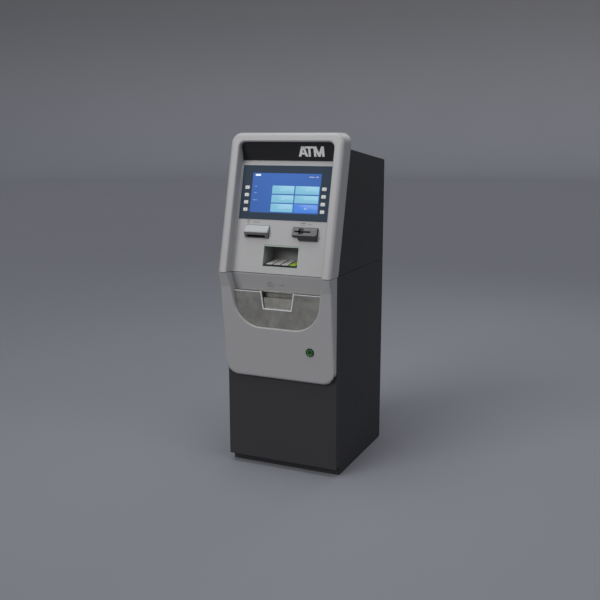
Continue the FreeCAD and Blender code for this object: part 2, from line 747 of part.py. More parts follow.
printer_foot = "(slot_module_foot + 18)"
printer_back = "(shell_wall/cos(fascia_tilt) + printer_depth)"
printer_case = block((f"{receipt_left} + 8", f"{receipt_right} - 8"), ("1.2*shell_wall", printer_back),
                     (printer_foot, f"{printer_foot} + printer_height"))
roll_depth = f"({printer_back} + paper_roll_radius + 6)"
roll_height = f"({printer_foot} + paper_roll_radius + 10)"
roll_gap = "(paper_roll_width/2 + 1)"
cheeks = []
for low, high in ((f"-slot_module_x - {roll_gap} - 2.5", f"-slot_module_x - {roll_gap}"),
                  (f"-slot_module_x + {roll_gap}", f"-slot_module_x + {roll_gap} + 2.5")):
    cheeks.append(block((low, high), (f"{printer_back} - 10", f"{roll_depth} + 12"),
                        (f"{roll_height} - 16", f"{roll_height} + 12")))
spindle_span = (f"-slot_module_x - {roll_gap} - 2", f"-slot_module_x + {roll_gap} + 2")
spindle = rod("x", *spindle_span, (roll_depth, roll_height), "spindle_radius")
sub_part("receipt_printer", on_fascia(join(printer_case, *cheeks, spindle)))
paper_span = ("-slot_module_x - paper_roll_width/2", "-slot_module_x + paper_roll_width/2")
paper = rod("x", *paper_span, (roll_depth, roll_height), "paper_roll_radius")
paper_bore = rod("x", f"{paper_span[0]} - 1", f"{paper_span[1]} + 1", (roll_depth, roll_height),
                 "spindle_radius + running_clearance")
sub_part("paper_roll", on_fascia(cut(paper, paper_bore)))

# ---------------------------------------------------------------- card reader
card_left = f"(slot_module_x - {module_half})"
card_right = f"(slot_module_x + {module_half})"
card_slot_middle = "(slot_module_foot + card_slot_rise)"
card_plate = prism("yz", [(0, "slot_module_foot + 9"), (0, module_head), (-5, module_head),
                          ("-card_nose", f"{module_head} - 9"), ("-card_nose", "slot_module_foot + 14"),
                          (-8, "slot_module_foot + 9")], card_left, card_right)
card_chin = prism("yz", [(0, "slot_module_foot - 4"), (0, "slot_module_foot + 22"),
                         ("-card_chin_nose", "slot_module_foot + 20"),
                         ("-card_chin_nose", "slot_module_foot + 14"), (-9, "slot_module_foot - 4")],
                  f"{card_left} + 26", card_right)
chin_x = (f"{card_left} + 26", card_right)
rounded(card_chin, 4, lambda edge: edge.BoundBox.YMin < -1 and edge.BoundBox.XLength < 0.01
        and near(edge.BoundBox.XMin, chin_x[0]))
card_throat = block((f"{card_left} + 10", f"{card_left} + 10 + card_slot_width"),
                    ("-card_nose - 5", OVERRUN),
                    (f"{card_slot_middle} - card_slot/2", f"{card_slot_middle} + card_slot/2"))
notch_middle = f"({card_left} + 39)"
finger_notch = block((f"{notch_middle} - card_notch_width/2", f"{notch_middle} + card_notch_width/2"),
                     ("-card_chin_nose - 5", -4), (f"{card_slot_middle} - 12", f"{card_slot_middle} + 14"))
sub_part("card_bezel", on_fascia(cut(join(card_plate, card_chin), card_throat, finger_notch)))
reader_top = f"{card_slot_middle} + reader_height/2 + 4"
reader_case = block(("slot_module_x - reader_width/2", "slot_module_x + reader_width/2"),
                    ("1.2*shell_wall", "1.2*shell_wall + reader_depth"),
                    (f"{reader_top} - reader_height", reader_top))
reader_slot = block((f"{card_left} + 12", f"{card_left} + 8 + card_slot_width"), (-1, 60),
                    (f"{card_slot_middle} - card_slot/2", f"{card_slot_middle} + card_slot/2"))
reader_board = block(("slot_module_x - reader_width/2 + 6", "slot_module_x + reader_width/2 - 6"),
                     ("1.2*shell_wall + 30", "1.2*shell_wall + reader_depth - 4"),
                     (reader_top, f"{reader_top} + 6"))
sub_part("card_reader", on_fascia(join(cut(reader_case, reader_slot), reader_board)))

# ---------------------------------------------------------------- keypad recess
tub_solid = prism("yz", tub_outline("tub_wall", 0.5), f"{tub_left} - tub_wall", f"{tub_right} + tub_wall")
tub_hollow = prism("yz", tub_outline("0", OVERRUN), tub_left, tub_right)
sub_part("pinpad_tub", cut(tub_solid, tub_hollow))

keypad_half = "(tub_half_width - keypad_margin)"
keypad_length = "(tub_depth/cos(tub_floor_slope) - 3*keypad_margin)"
KEY_ROWS = 4
KEY_COLUMNS = 4


def on_keypad(solid):
    """Moves a piece built as (across, towards the rear, above the tub's floor) to its place."""
    rise = "keypad_margin*tan(tub_floor_slope)"
    return set_place(solid, "tub_centre_x", f"{panel_y('tub_foot_height')} + keypad_margin",
                     f"tub_foot_height + {rise}", turn="tub_floor_slope")


def key_box(row, column, grow, low, high):
    middle_x = f"(({column} - {(KEY_COLUMNS - 1) / 2})*pin_key_pitch_x)"
    middle_y = f"({keypad_length}/2 + ({(KEY_ROWS - 1) / 2} - {row})*pin_key_pitch_y)"
    reach_x = f"(pin_key_width/2 + {grow})"
    reach_y = f"(pin_key_length/2 + {grow})"
    return prism("xy", [(f"{middle_x} - {reach_x}", f"{middle_y} - {reach_y}"),
                        (f"{middle_x} + {reach_x}", f"{middle_y} - {reach_y}"),
                        (f"{middle_x} + {reach_x}", f"{middle_y} + {reach_y}"),
                        (f"{middle_x} - {reach_x}", f"{middle_y} + {reach_y}")], low, high)


plate_solid = block((f"-{keypad_half}", keypad_half), (0, keypad_length), (0.05, "keypad_thickness"))
well_floor = "keypad_thickness - pin_key_height + pin_key_proud - pin_key_travel - 0.3"
key_wells = [key_box(row, column, "key_clearance", well_floor, f"keypad_thickness + {OVERRUN}")
             for row in range(KEY_ROWS) for column in range(KEY_COLUMNS)]
sub_part("keypad_plate", on_keypad(cut(plate_solid, *key_wells)))
for row in range(KEY_ROWS):
    for column in range(KEY_COLUMNS):
        key = key_box(row, column, 0, "keypad_thickness - pin_key_height + pin_key_proud",
                      "keypad_thickness + pin_key_proud")
        rounded(key, 1.5, lambda edge: runs_along(edge, "z"))
        rounded(key, 0.7, lambda edge: near(edge.BoundBox.ZMin, "keypad_thickness + pin_key_proud"))
        sub_part(f"pin_key_{row + 1}_{column + 1}", on_keypad(key))

# ---------------------------------------------------------------- safe door
door_face = f"({front} - door_thickness)"
outlet_foot = "(plate_top - outlet_height)"
tray_half = "(outlet_top_half + 4)"
tray_foot = f"({outlet_foot} - 5)"
tray_top = "(plate_top - 1)"
door_solid = prism("xy", [(f"-{half}", door_face), (half, door_face), (half, f"{front} - door_gap"),
                          (f"-{half}", f"{front} - door_gap")], "door_bottom", door_top)
rounded(door_solid, "pivot_inset", lambda edge: runs_along(edge, "z")
        and near(edge.BoundBox.XMin, f"-{half}") and near(edge.BoundBox.YMax, f"{front} - door_gap"))
inner_half = f"({half} - door_skin)"
door_hollow = block((f"-{inner_half}", inner_half),
                    (f"{door_face} + door_skin", f"{front} - door_gap - door_skin"),
                    ("door_bottom + door_skin", f"{door_top} - door_skin"))
lip_half = f"({inner_half} - door_lip)"
door_mouth = block((f"-{lip_half}", lip_half),
                   (f"{front} - door_gap - door_skin - 1", f"{front} + {OVERRUN}"),
                   ("door_bottom + door_skin + door_lip", f"{door_top} - door_skin - door_lip"))
tunnel = block((f"-{tray_half} - trim_clearance", f"{tray_half} + trim_clearance"),
               (f"{front} - fascia_overhang", f"{front} - door_gap - door_skin - 1"),
               (f"{tray_foot} - trim_clearance", f"{tray_top} + trim_clearance"))
lock_across = ("lock_x", "lock_height")
sleeve_hole = rod("y", f"{front} - fascia_overhang", f"{front} - 20", lock_across,
                  "lock_sleeve_radius + running_clearance")
pivot_bore = rod("z", 0, f"seam_height + {OVERRUN}", pivot_place, "pivot_radius + running_clearance")
bolt_across = (f"{front} - bolt_setback", "lock_height")
guides = []
for low, high in (("lock_x - 66", "lock_x - 56"), ("lock_x + 40", "lock_x + 50")):
    guides.append(cut(
        block((low, high), (f"{door_face} + door_skin - 0.5", f"{front} - bolt_setback + bolt_radius + 4"),
              ("lock_height - 14", "lock_height + 14")),
        rod("x", f"{low} - 1", f"{high} + 1", bolt_across, "bolt_radius + running_clearance")))
sub_part("safe_door", join(cut(door_solid, door_hollow, door_mouth, tunnel, sleeve_hole, pivot_bore),
                           *guides))

# ---------------------------------------------------------------- apron and its backing frame
backing_face = f"({front} - door_thickness - backing_thickness)"


backing = prism("xz", front_outline(f"({half} - shell_flare)", "(apron_bottom + shell_flare)", door_top),
                backing_face, door_face)
rounded(backing, "apron_corner_radius - shell_flare", lambda edge: runs_along(edge, "y")
        and near(edge.BoundBox.ZMin, "apron_bottom + shell_flare"))
BACKING_RIM = 22
backing_hollow = block((f"{BACKING_RIM} - {half}", f"{half} - {BACKING_RIM}"),
                       (f"{backing_face} - 1", f"{door_face} + 1"),
                       (f"apron_bottom + {BACKING_RIM}", f"{door_top} - {BACKING_RIM}"))
sub_part("apron_backing", cut(backing, backing_hollow))


def apron_side(inset):
    """Side outline of the apron, its front brought in by the inset."""
    return [(backing_face, "apron_bottom"), (f"{apron_y('apron_bottom')} + {inset}", "apron_bottom"),
            (f"{apron_y('brow_height')} + {inset}", "brow_height"),
            (f"{front} - fascia_overhang + {inset}", door_top), (backing_face, door_top)]


apron_solid = prism("yz", apron_side(0), f"-{shell_half}", shell_half)
rounded(apron_solid, "apron_corner_radius",
        lambda edge: runs_along(edge, "y") and near(edge.BoundBox.ZMin, "apron_bottom"))


def on_apron_front(edge):
    """Front edges of the apron down both sides and round its foot, and not its break or its top."""
    box = edge.BoundBox
    behind_front = box.YMax > number(f"{backing_face} - 1")
    return not behind_front and not near(box.ZMin, door_top) and not (
        near(box.ZMin, "brow_height") and near(box.ZMax, "brow_height"))


rounded(apron_solid, "apron_front_radius", on_apron_front)


def pocket_prism(grow, low, high):
    """The U-shaped pocket seen from the front, grown outwards, between two depths."""
    foot = f"(pocket_bottom - ({grow}))"
    head = f"({door_top} + {OVERRUN})"
    top_half = f"(rail_inner_half + ({grow}) + {OVERRUN}*tan(pocket_taper))"
    foot_half = f"(rail_inner_half + ({grow}) - ({door_top} - {foot})*tan(pocket_taper))"
    body = prism("xz", [(f"-{foot_half}", foot), (foot_half, foot), (top_half, head), (f"-{top_half}", head)],
                 low, high)
    return rounded(body, f"pocket_corner_radius + ({grow})",
                   lambda edge: runs_along(edge, "y") and near(edge.BoundBox.ZMin, foot))


def strip_prism(setback, grow):
    """Cutting tool for the strip between the plate's top and the seam, whose floor slopes back."""
    reach = f"({front} - fascia_overhang - {OVERRUN})"
    foot = f"(plate_top - {grow})"
    slope = "((plate_overhang - brow_setback)/(seam_height - plate_top))"
    head = f"seam_height + {OVERRUN}"
    floor = f"{front} - brow_setback + {setback}"
    return prism("yz", [(reach, foot), (floor, foot), (f"{floor} - ({head} - plate_top)*{slope}", head),
                        (reach, head)], "-rail_inner_half - 40", "rail_inner_half + 40")


ledge_half = "(rail_inner_half - (seam_height - plate_top + 12)*tan(pocket_taper) - trim_clearance)"
far_front = f"{front} - fascia_overhang - {OVERRUN}"
plate_y = f"({front} - plate_overhang)"
plate_pocket = pocket_prism(0, far_front, f"{plate_y} + plate_thickness")
strip_pocket = overlap(pocket_prism("-trim_clearance", f"{plate_y} - 4", f"{front} - brow_setback + 1"),
                       strip_prism(0, 0))
carved(apron_solid, plate_pocket)


def on_pocket_rim(edge):
    """The pocket's edge in the apron's front, down both sides and round its foot."""
    points = [edge.valueAt(edge.FirstParameter + share*(edge.LastParameter - edge.FirstParameter))
              for share in (0.1, 0.5, 0.9)]
    ahead = all(near(point.y, apron_y(point.z)) or near(point.y, brow_y(point.z)) for point in points)
    return ahead and all(abs(point.x) < number("rail_inner_half + 3") for point in points) and (
        edge.BoundBox.ZMax < number(door_top) - 0.1 or edge.BoundBox.ZLength > 1) and not (
        near(edge.BoundBox.ZMin, "brow_height") and near(edge.BoundBox.ZMax, "brow_height"))


apron_hollow_solid = prism("yz", apron_side("shell_wall"), f"-{inside_half}", inside_half)
hollow_tool = block((f"-{inside_half}", inside_half),
                    (f"{front} - fascia_overhang", f"{backing_face} + {OVERRUN}"),
                    ("apron_bottom + apron_front_radius", f"{door_top} - shell_wall"))
keep_plate = pocket_prism("shell_wall", far_front, f"{plate_y} + plate_thickness + shell_wall")
keep_strip = overlap(pocket_prism("shell_wall", far_front, f"{front} - backing_thickness"),
                     strip_prism("shell_wall", "shell_wall"))
apron_hollow = cut(overlap(apron_hollow_solid, hollow_tool), keep_plate, keep_strip)
ring_hole = rod("y", f"{front} - fascia_overhang", f"{front} - door_thickness", lock_across,
                "lock_ring_radius + 0.2")
ledge_seat = block((f"-{ledge_half} - trim_clearance", f"{ledge_half} + trim_clearance"),
                   (plate_y, f"{plate_y} + plate_ledge + trim_clearance"),
                   ("plate_top - plate_thickness", "plate_top + 1"))
rounded(apron_solid, "pocket_rim_radius", on_pocket_rim)
sub_part("apron", cut(apron_solid, strip_pocket, apron_hollow, tunnel, ring_hole, ledge_seat))

# ---------------------------------------------------------------- steel plate with the cash outlet
plate_sheet = overlap(pocket_prism("-trim_clearance", plate_y, f"{plate_y} + plate_thickness"),
                      block(("-rail_inner_half", "rail_inner_half"),
                            (plate_y, f"{plate_y} + plate_thickness"), ("pocket_bottom", "plate_top")))
ledge = block((f"-{ledge_half}", ledge_half), (f"{plate_y} + 0.5", f"{plate_y} + plate_ledge"),
              ("plate_top - plate_thickness", "plate_top"))


def outlet_prism(grow, head, low, high):
    return prism("xz", [(f"-outlet_foot_half - {grow}", f"{outlet_foot} - {grow}"),
                        (f"outlet_foot_half + {grow}", f"{outlet_foot} - {grow}"),
                        (f"outlet_top_half + {grow}", head), (f"-outlet_top_half - {grow}", head)], low, high)


outlet_hole = outlet_prism("outlet_rim", f"plate_top + {OVERRUN}", f"{plate_y} - {OVERRUN}",
                           f"{plate_y} + plate_ledge + 1")
outlet_frame = cut(outlet_prism("outlet_rim", "plate_top", plate_y, f"{plate_y} + outlet_rim_depth"),
                   outlet_prism("0", f"plate_top + {OVERRUN}", f"{plate_y} - 1", f"{plate_y} + {OVERRUN}"))
scoop_face = f"({plate_y} + scoop_setback)"
scoop = overlap(
    prism("yz", [(scoop_face, outlet_foot), (f"{scoop_face} + plate_thickness", outlet_foot),
                 (f"{scoop_face} + plate_thickness + scoop_lean", f"{outlet_foot} + scoop_rise"),
                 (f"{scoop_face} + scoop_lean", f"{outlet_foot} + scoop_rise")],
          "-outlet_top_half", "outlet_top_half"),
    outlet_prism("outlet_rim/2", "plate_top", plate_y, f"{plate_y} + plate_ledge"))
sub_part("outlet_plate", join(cut(join(plate_sheet, ledge), outlet_hole), outlet_frame, scoop))

tray_y = (f"{plate_y} + plate_thickness + 0.3", f"{front} - door_gap - door_skin")
tray_solid = block((f"-{tray_half}", tray_half), tray_y, (tray_foot, tray_top))
tray_bore = block((f"tray_wall - {tray_half}", f"{tray_half} - tray_wall"),
                  (f"{plate_y} - 1", f"{front} + 1"),
                  (f"{tray_foot} + tray_wall", f"{tray_top} - tray_wall"))
shutter_y = f"({plate_y} + plate_ledge + 8)"
shutter_axis = f"({tray_top} - tray_wall - 3)"
tray_bearing = rod("x", f"-{tray_half} - 1", f"{tray_half} + 1", (shutter_y, shutter_axis),
                   "shutter_pin_radius + running_clearance")
past_tray = (f"-{tray_half} - 1", f"{tray_half} + 1")
ledge_relief = block(past_tray, (f"{plate_y} - 1", f"{plate_y} + plate_ledge + trim_clearance"),
                     ("plate_top - plate_thickness - trim_clearance", "plate_top + 1"))
rim_relief = block(past_tray, (f"{plate_y} - 1", f"{plate_y} + outlet_rim_depth + trim_clearance"),
                   (f"{tray_foot} - 1", "plate_top + 1"))
sub_part("outlet_tray", cut(tray_solid, tray_bore, tray_bearing, ledge_relief, rim_relief))
shutter_half = f"({tray_half} - tray_wall - trim_clearance)"
shutter = join(
    block((f"-{shutter_half}", shutter_half),
          (f"{shutter_y} - shutter_thickness/2", f"{shutter_y} + shutter_thickness/2"),
          (f"{outlet_foot} + scoop_rise - 5", shutter_axis)),
    rod("x", f"-{shutter_half}", shutter_half, (shutter_y, shutter_axis), "shutter_pin_radius + 0.6"),
    rod("x", f"-{tray_half} + 0.3", f"{tray_half} - 0.3", (shutter_y, shutter_axis), "shutter_pin_radius"))
sub_part("outlet_shutter", shutter)

# ---------------------------------------------------------------- lock
lock_face = f"({apron_y('lock_height')} - 4)"
ring = join(rod("y", lock_face, f"{lock_face} + 9", lock_across, "lock_ring_radius"),
            rod("y", lock_face, f"{door_face} + door_skin + 1", lock_across, "lock_sleeve_radius"))
ring_bore = rod("y", f"{lock_face} - 1", front, lock_across, "lock_cylinder_radius + running_clearance")
ring_dish = rod("y", f"{lock_face} - 1", f"{lock_face} + 1.5", lock_across, "lock_sleeve_radius")
sub_part("lock_ring", cut(ring, ring_bore, ring_dish))
cam_front = f"({door_face} + door_skin + 2)"
barrel = rod("y", f"{lock_face} + 0.5", f"{cam_front} + 4", lock_across, "lock_cylinder_radius")
keyway = block(("lock_x - 1", "lock_x + 1"), (f"{lock_face} - 1", f"{lock_face} + 14"),
               ("lock_height - 5", "lock_height + 5"))
cam_reach = "(cam_radius*cos(45))"
cam_disc = rod("y", cam_front, f"{cam_front} + 4", lock_across, "cam_radius + cam_pin_radius + 1")
cam_pin = rod("y", f"{cam_front} + 3", f"{front} - bolt_setback - 1",
              (f"lock_x - {cam_reach}", f"lock_height + {cam_reach}"), "cam_pin_radius")
sub_part("lock_cylinder", join(cut(barrel, keyway), cam_disc, cam_pin))
slot_half = "(cam_pin_radius + cam_play)"
yoke = cut(
    block((f"lock_x - {cam_reach} - 14", f"lock_x - {cam_reach} + 14"),
          (f"{front} - bolt_setback - bolt_radius", f"{front} - bolt_setback"),
          ("lock_height - 8", "lock_height + cam_radius + cam_pin_radius + 8")),
    block((f"lock_x - {cam_reach} - {slot_half}", f"lock_x - {cam_reach} + {slot_half}"),
          (f"{front} - bolt_setback - bolt_radius - 1", f"{front} - bolt_setback + 1"),
          (f"lock_height + {cam_reach} - {slot_half}", f"lock_height + cam_radius + {slot_half}")))
bolt_left = rod("x", "lock_x - 76", f"lock_x - {cam_reach} - 12", bolt_across, "bolt_radius")
bolt_right = rod("x", f"lock_x - {cam_reach} + 12", "strike_x - 2", bolt_across, "bolt_radius")
bolt_bridge = block((f"lock_x - {cam_reach} - 14", f"lock_x - {cam_reach} + 14"),
                    (f"{front} - bolt_setback - bolt_radius", f"{front} - bolt_setback"),
                    ("lock_height - 8", "lock_height"))
sub_part("bolt_bar", join(yoke, bolt_left, bolt_right, bolt_bridge))

# ---------------------------------------------------------------- cash dispenser in the safe
rack_front = f"({front} + dispenser_front)"
rack_back = f"({front} + dispenser_front + dispenser_depth)"
rack_top = f"({shutter_axis} + 14)"
inner_rack = "(dispenser_half_width - dispenser_plate)"
rack_sides = (("-dispenser_half_width", f"-{inner_rack}"), (inner_rack, "dispenser_half_width"))
rack = [block(side, (rack_front, rack_back), ("safe_wall", rack_top)) for side in rack_sides]
for level in ("cassette_shelf", "reject_shelf"):
    rack.append(block((f"-{inner_rack} - 0.5", f"{inner_rack} + 0.5"), (f"{rack_front} + 6", rack_back),
                      (f"{level} - dispenser_plate", level)))
rack.append(block((f"-{inner_rack} - 0.5", f"{inner_rack} + 0.5"), (f"{rack_front} + 40", rack_back),
                  (f"{rack_top} - dispenser_plate", rack_top)))
rack.append(block((f"-{inner_rack} - 0.5", f"{inner_rack} + 0.5"), (f"{rack_back} - 40", rack_back),
                  ("reject_shelf + reject_height + 30", f"{rack_top} - dispenser_plate + 1")))
note_path = block((f"-{inner_rack} - 0.5", f"{inner_rack} + 0.5"),
                  (f"{front} + safe_wall + 4", f"{front} + roller_setback - roller_radius - 3"),
                  ("roller_height - roller_radius - 6", "roller_height - roller_radius - 4"))
rack_noses = [block(side, (f"{front} + safe_wall + 4", f"{rack_front} + 1"), ("roller_height - 30", rack_top))
              for side in rack_sides]
roller_across = (f"{front} + roller_setback", "roller_height")
roller_bearing = rod("x", "-dispenser_half_width - 1", "dispenser_half_width + 1", roller_across,
                     "roller_shaft_radius + running_clearance")
sub_part("dispenser_frame", cut(join(*rack, note_path, *rack_noses), roller_bearing))
ROLLERS = 4
tyres = []
for index in range(ROLLERS):
    middle = f"(({index} - {(ROLLERS - 1) / 2})*46)"
    tyres.append(rod("x", f"{middle} - 9", f"{middle} + 9", roller_across, "roller_radius"))
shaft = rod("x", "-dispenser_half_width - 4", "dispenser_half_width + 4", roller_across,
            "roller_shaft_radius")
sub_part("feed_roller", join(shaft, *tyres))


def cassette(shelf, height, depth):
    """A lidded note box with a pull handle on its front, standing on a shelf."""
    near_face = f"({rack_front} + 22)"
    case = rounded(prism("xz", front_outline("cassette_half_width", shelf, f"({shelf} + {height})"),
                         near_face, f"{near_face} + {depth}"), 4, lambda edge: runs_along(edge, "y"))
    middle = f"{shelf} + {height}/2"
    lid_foot = f"{shelf} + 0.8*{height}"
    grip = cut(block((-45, 45), (f"{near_face} - 18", f"{near_face} + 1"),
                     (f"{middle} - 9", f"{middle} + 9")),
               block((-37, 37), (f"{near_face} - 11", near_face), (f"{middle} - 10", f"{middle} + 10")))
    lid_line = block(("-cassette_half_width - 1", "cassette_half_width + 1"),
                     (f"{near_face} - 1", f"{near_face} + {depth} + 1"), (lid_foot, f"{lid_foot} + 1"))
    core = block(("3 - cassette_half_width", "cassette_half_width - 3"),
                 (f"{near_face} + 3", f"{near_face} + {depth} - 3"), (f"{lid_foot} - 1", f"{lid_foot} + 2"))
    return join(cut(case, lid_line), core, grip)


sub_part("cash_cassette", cassette("cassette_shelf", "cassette_height", "cassette_depth"))
sub_part("reject_bin", cassette("reject_shelf", "reject_height", "0.7*cassette_depth"))

# ---------------------------------------------------------------- head electronics
fan_front = f"({rear_wall_y} - fan_depth)"
fan_across = ("fan_x", "fan_height")
fan_case = prism("xz", front_outline("fan_size/2", "fan_height - fan_size/2", "fan_height + fan_size/2",
                                     middle="fan_x"), fan_front, rear_wall_y)
rounded(fan_case, 5, lambda edge: runs_along(edge, "y"))
fan_bore = rod("y", f"{fan_front} - 1", f"{rear_wall_y} + 1", fan_across, "fan_bore_radius")
spoke_y = (f"{rear_wall_y} - 4", rear_wall_y)
spoke_reach = "(fan_bore_radius + 1)"
spokes = join(block((f"fan_x - {spoke_reach}", f"fan_x + {spoke_reach}"), spoke_y,
                    ("fan_height - 2", "fan_height + 2")),
              block(("fan_x - 2", "fan_x + 2"), spoke_y,
                    (f"fan_height - {spoke_reach}", f"fan_height + {spoke_reach}")),
              rod("y", *spoke_y, fan_across, "fan_hub_radius - 3"))
fan_shaft_bore = rod("y", f"{rear_wall_y} - 10", f"{rear_wall_y} + 1", fan_across, "2 + running_clearance")
sub_part("fan_frame", cut(join(cut(fan_case, fan_bore), spokes), fan_shaft_bore))
BLADES = 7
hub = join(rod("y", f"{fan_front} + 2", f"{rear_wall_y} - 4.6", fan_across, "fan_hub_radius"),
           rod("y", f"{rear_wall_y} - 5", f"{rear_wall_y} - 0.5", fan_across, 2))
blades = []
for index in range(BLADES):
    blade = join(block((5, "fan_blade_radius"), (-7, 7), (-0.8, 0.8)))
    set_place(blade, 0, 0, 0, "1; 0; 0", 35)
    turned = join(blade)
    blades.append(set_place(turned, "fan_x", f"{fan_front} + 11.5", "fan_height", "0; 1; 0",
                            f"{index}*360/{BLADES}"))
blade_bound = rod("y", fan_front, rear_wall_y, fan_across, "fan_blade_radius")
sub_part("fan_rotor", join(hub, overlap(join(*blades), blade_bound)))

outer_face = f"{rear_wall_y} + sheet"
inlet_floor = f"{outer_face} - inlet_depth"


def inlet_box(grow_x, grow_z, low, high):
    return block((f"inlet_x - inlet_width/2 - {grow_x}", f"inlet_x + inlet_width/2 + {grow_x}"), (low, high),
                 (f"inlet_height - inlet_body_height/2 - {grow_z}",
                  f"inlet_height + inlet_body_height/2 + {grow_z}"))


inlet_body = inlet_box(0, 0, inlet_floor, f"{outer_face} + 1")
inlet_flange = inlet_box(10, 2, outer_face, f"{outer_face} + 2.5")
inlet_socket = inlet_box("(-1.5)", "(-1.5)", f"{inlet_floor} + 6", f"{back} + 1")
blade_pins = [block((f"inlet_x + {shift} - 1", f"inlet_x + {shift} + 1"),
                    (f"{inlet_floor} + 5", f"{outer_face} - 3"),
                    (f"inlet_height + {rise} - 2", f"inlet_height + {rise} + 2"))
              for shift, rise in ((-7, -2), (0, 2), (7, -2))]
sub_part("power_inlet", join(cut(join(inlet_body, inlet_flange), inlet_socket), *blade_pins))

board_back = f"({rear_wall_y} - standoff)"
board_face = f"{board_back} - board_thickness"
board_left = f"(board_inset - {half})"
board_foot = "(seam_height + board_rise)"
board = [block((board_left, f"{board_left} + board_width"), (board_face, board_back),
               (board_foot, f"{board_foot} + board_height"))]
for post_x in (f"{board_left} + 10", f"{board_left} + board_width - 10"):
    for post_z in (f"{board_foot} + 10", f"{board_foot} + board_height - 10"):
        board.append(rod("y", f"{board_back} - 0.5", rear_wall_y, (post_x, post_z), 3.5))
# heat sink, capacitors, two memory cards and a connector: from the board's corner, then their sizes
FITTED = ((95, 110, 44, 44, 16), (30, 60, 16, 60, 12), (155, 40, 70, 9, 28), (155, 60, 70, 9, 28),
          (185, 150, 40, 26, 9))
for across, up, wide, tall, thick in FITTED:
    board.append(block((f"{board_left} + {across}", f"{board_left} + {across + wide}"),
                       (f"{board_face} - {thick}", f"{board_face} + 0.5"),
                       (f"{board_foot} + {up}", f"{board_foot} + {up + tall}")))
sub_part("mainboard", join(*board))

supply_foot = "(seam_height + sheet)"
supply_x = f"(sheet - {half} + 6)"
supply_y = f"({rear_wall_y} - 50 - supply_depth)"
supply_right = f"{supply_x} + supply_width"
supply = block((supply_x, supply_right), (supply_y, f"{supply_y} + supply_depth"),
               (supply_foot, f"{supply_foot} + supply_height"))
VENTS = 11
supply_vents = [block((f"{supply_right} - 2", f"{supply_right} + 1"),
                      (f"{supply_y} + 20 + {index}*14", f"{supply_y} + 26 + {index}*14"),
                      (f"{supply_foot} + 12", f"{supply_foot} + supply_height - 12"))
                for index in range(VENTS)]
sub_part("power_supply", cut(supply, *supply_vents))

screws = []
for screw_x in (f"(screw_inset - {half})", "0", f"({half} - screw_inset)"):
    for screw_z in ("(seam_height + screw_rise)", f"({head_rear_top} - screw_rise)"):
        head = rod("y", outer_face, f"{outer_face} + 3", (screw_x, screw_z), "screw_radius")
        drive = block((f"{screw_x} - 3", f"{screw_x} + 3"), (f"{outer_face} + 1.5", back),
                      (f"{screw_z} - 0.6", f"{screw_z} + 0.6"))
        screws.append(cut(head, drive))
sub_part("rear_screws", group(*screws))

# ---------------------------------------------------------------- check and write
doc.recompute()
failed = [thing.Name for thing in doc.Objects if {"Invalid", "Error"} & set(thing.State)]
if failed:
    raise RuntimeError(f"failed objects: {failed}")
for piece in sub_parts:
    if piece.Shape.isNull() or not piece.Shape.isValid() or not piece.Shape.Solids:
        raise RuntimeError(f"bad shape: {piece.Label}")
os.makedirs("parts", exist_ok=True)
for piece in sub_parts:
    piece.Shape.exportStep(f"parts/{piece.Label}.step")
whole = FreeCAD.BoundBox()
for piece in sub_parts:
    whole.add(piece.Shape.BoundBox)
print(len(sub_parts), "sub-parts", whole)
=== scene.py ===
import math

import bmesh
import bpy
from mathutils import Matrix, Vector


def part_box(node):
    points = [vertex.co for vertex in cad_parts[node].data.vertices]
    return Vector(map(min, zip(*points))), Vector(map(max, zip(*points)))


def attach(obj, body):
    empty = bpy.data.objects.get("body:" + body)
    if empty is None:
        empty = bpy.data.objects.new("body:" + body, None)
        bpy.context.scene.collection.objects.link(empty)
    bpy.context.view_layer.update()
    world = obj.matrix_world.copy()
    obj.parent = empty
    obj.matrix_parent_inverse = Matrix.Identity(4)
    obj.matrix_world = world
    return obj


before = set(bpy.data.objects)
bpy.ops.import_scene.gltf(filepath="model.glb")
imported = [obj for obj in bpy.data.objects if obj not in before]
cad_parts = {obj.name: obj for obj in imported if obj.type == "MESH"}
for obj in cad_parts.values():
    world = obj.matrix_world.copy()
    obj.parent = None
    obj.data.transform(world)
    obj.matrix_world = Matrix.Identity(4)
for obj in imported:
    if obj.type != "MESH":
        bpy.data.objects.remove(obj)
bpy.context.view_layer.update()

# A free-standing cash machine on a plain studio floor. Metres, +Z up, the customer on the -Y side.

MM = 0.001


# ---------------------------------------------------------------- shader expressions
class Wire:
    """An output of one of a finish's nodes. Arithmetic on it adds Math nodes."""

    def __init__(self, finish, socket):
        self.finish = finish
        self.socket = socket

    def maths(self, operation, *values):
        return self.finish.node("ShaderNodeMath", {"operation": operation}, dict(enumerate(values)))

    def __add__(self, other):
        return self.maths("ADD", self, other)

    def __sub__(self, other):
        return self.maths("SUBTRACT", self, other)

    def __rsub__(self, other):
        return self.maths("SUBTRACT", other, self)

    def __mul__(self, other):
        return self.maths("MULTIPLY", self, other)

    def __truediv__(self, other):
        return self.maths("DIVIDE", self, other)

    __radd__ = __add__
    __rmul__ = __mul__

    def above(self, level):
        return self.maths("GREATER_THAN", self, level)

    def below(self, level):
        return self.maths("LESS_THAN", self, level)

    def power(self, exponent):
        return self.maths("POWER", self, exponent)

    def within(self, low, high):
        """0 at low, 1 at high, straight between them and level outside."""
        settings = {"clamp": True}
        return self.finish.node("ShaderNodeMapRange", settings, {0: self, 1: low, 2: high, 3: 0.0, 4: 1.0})


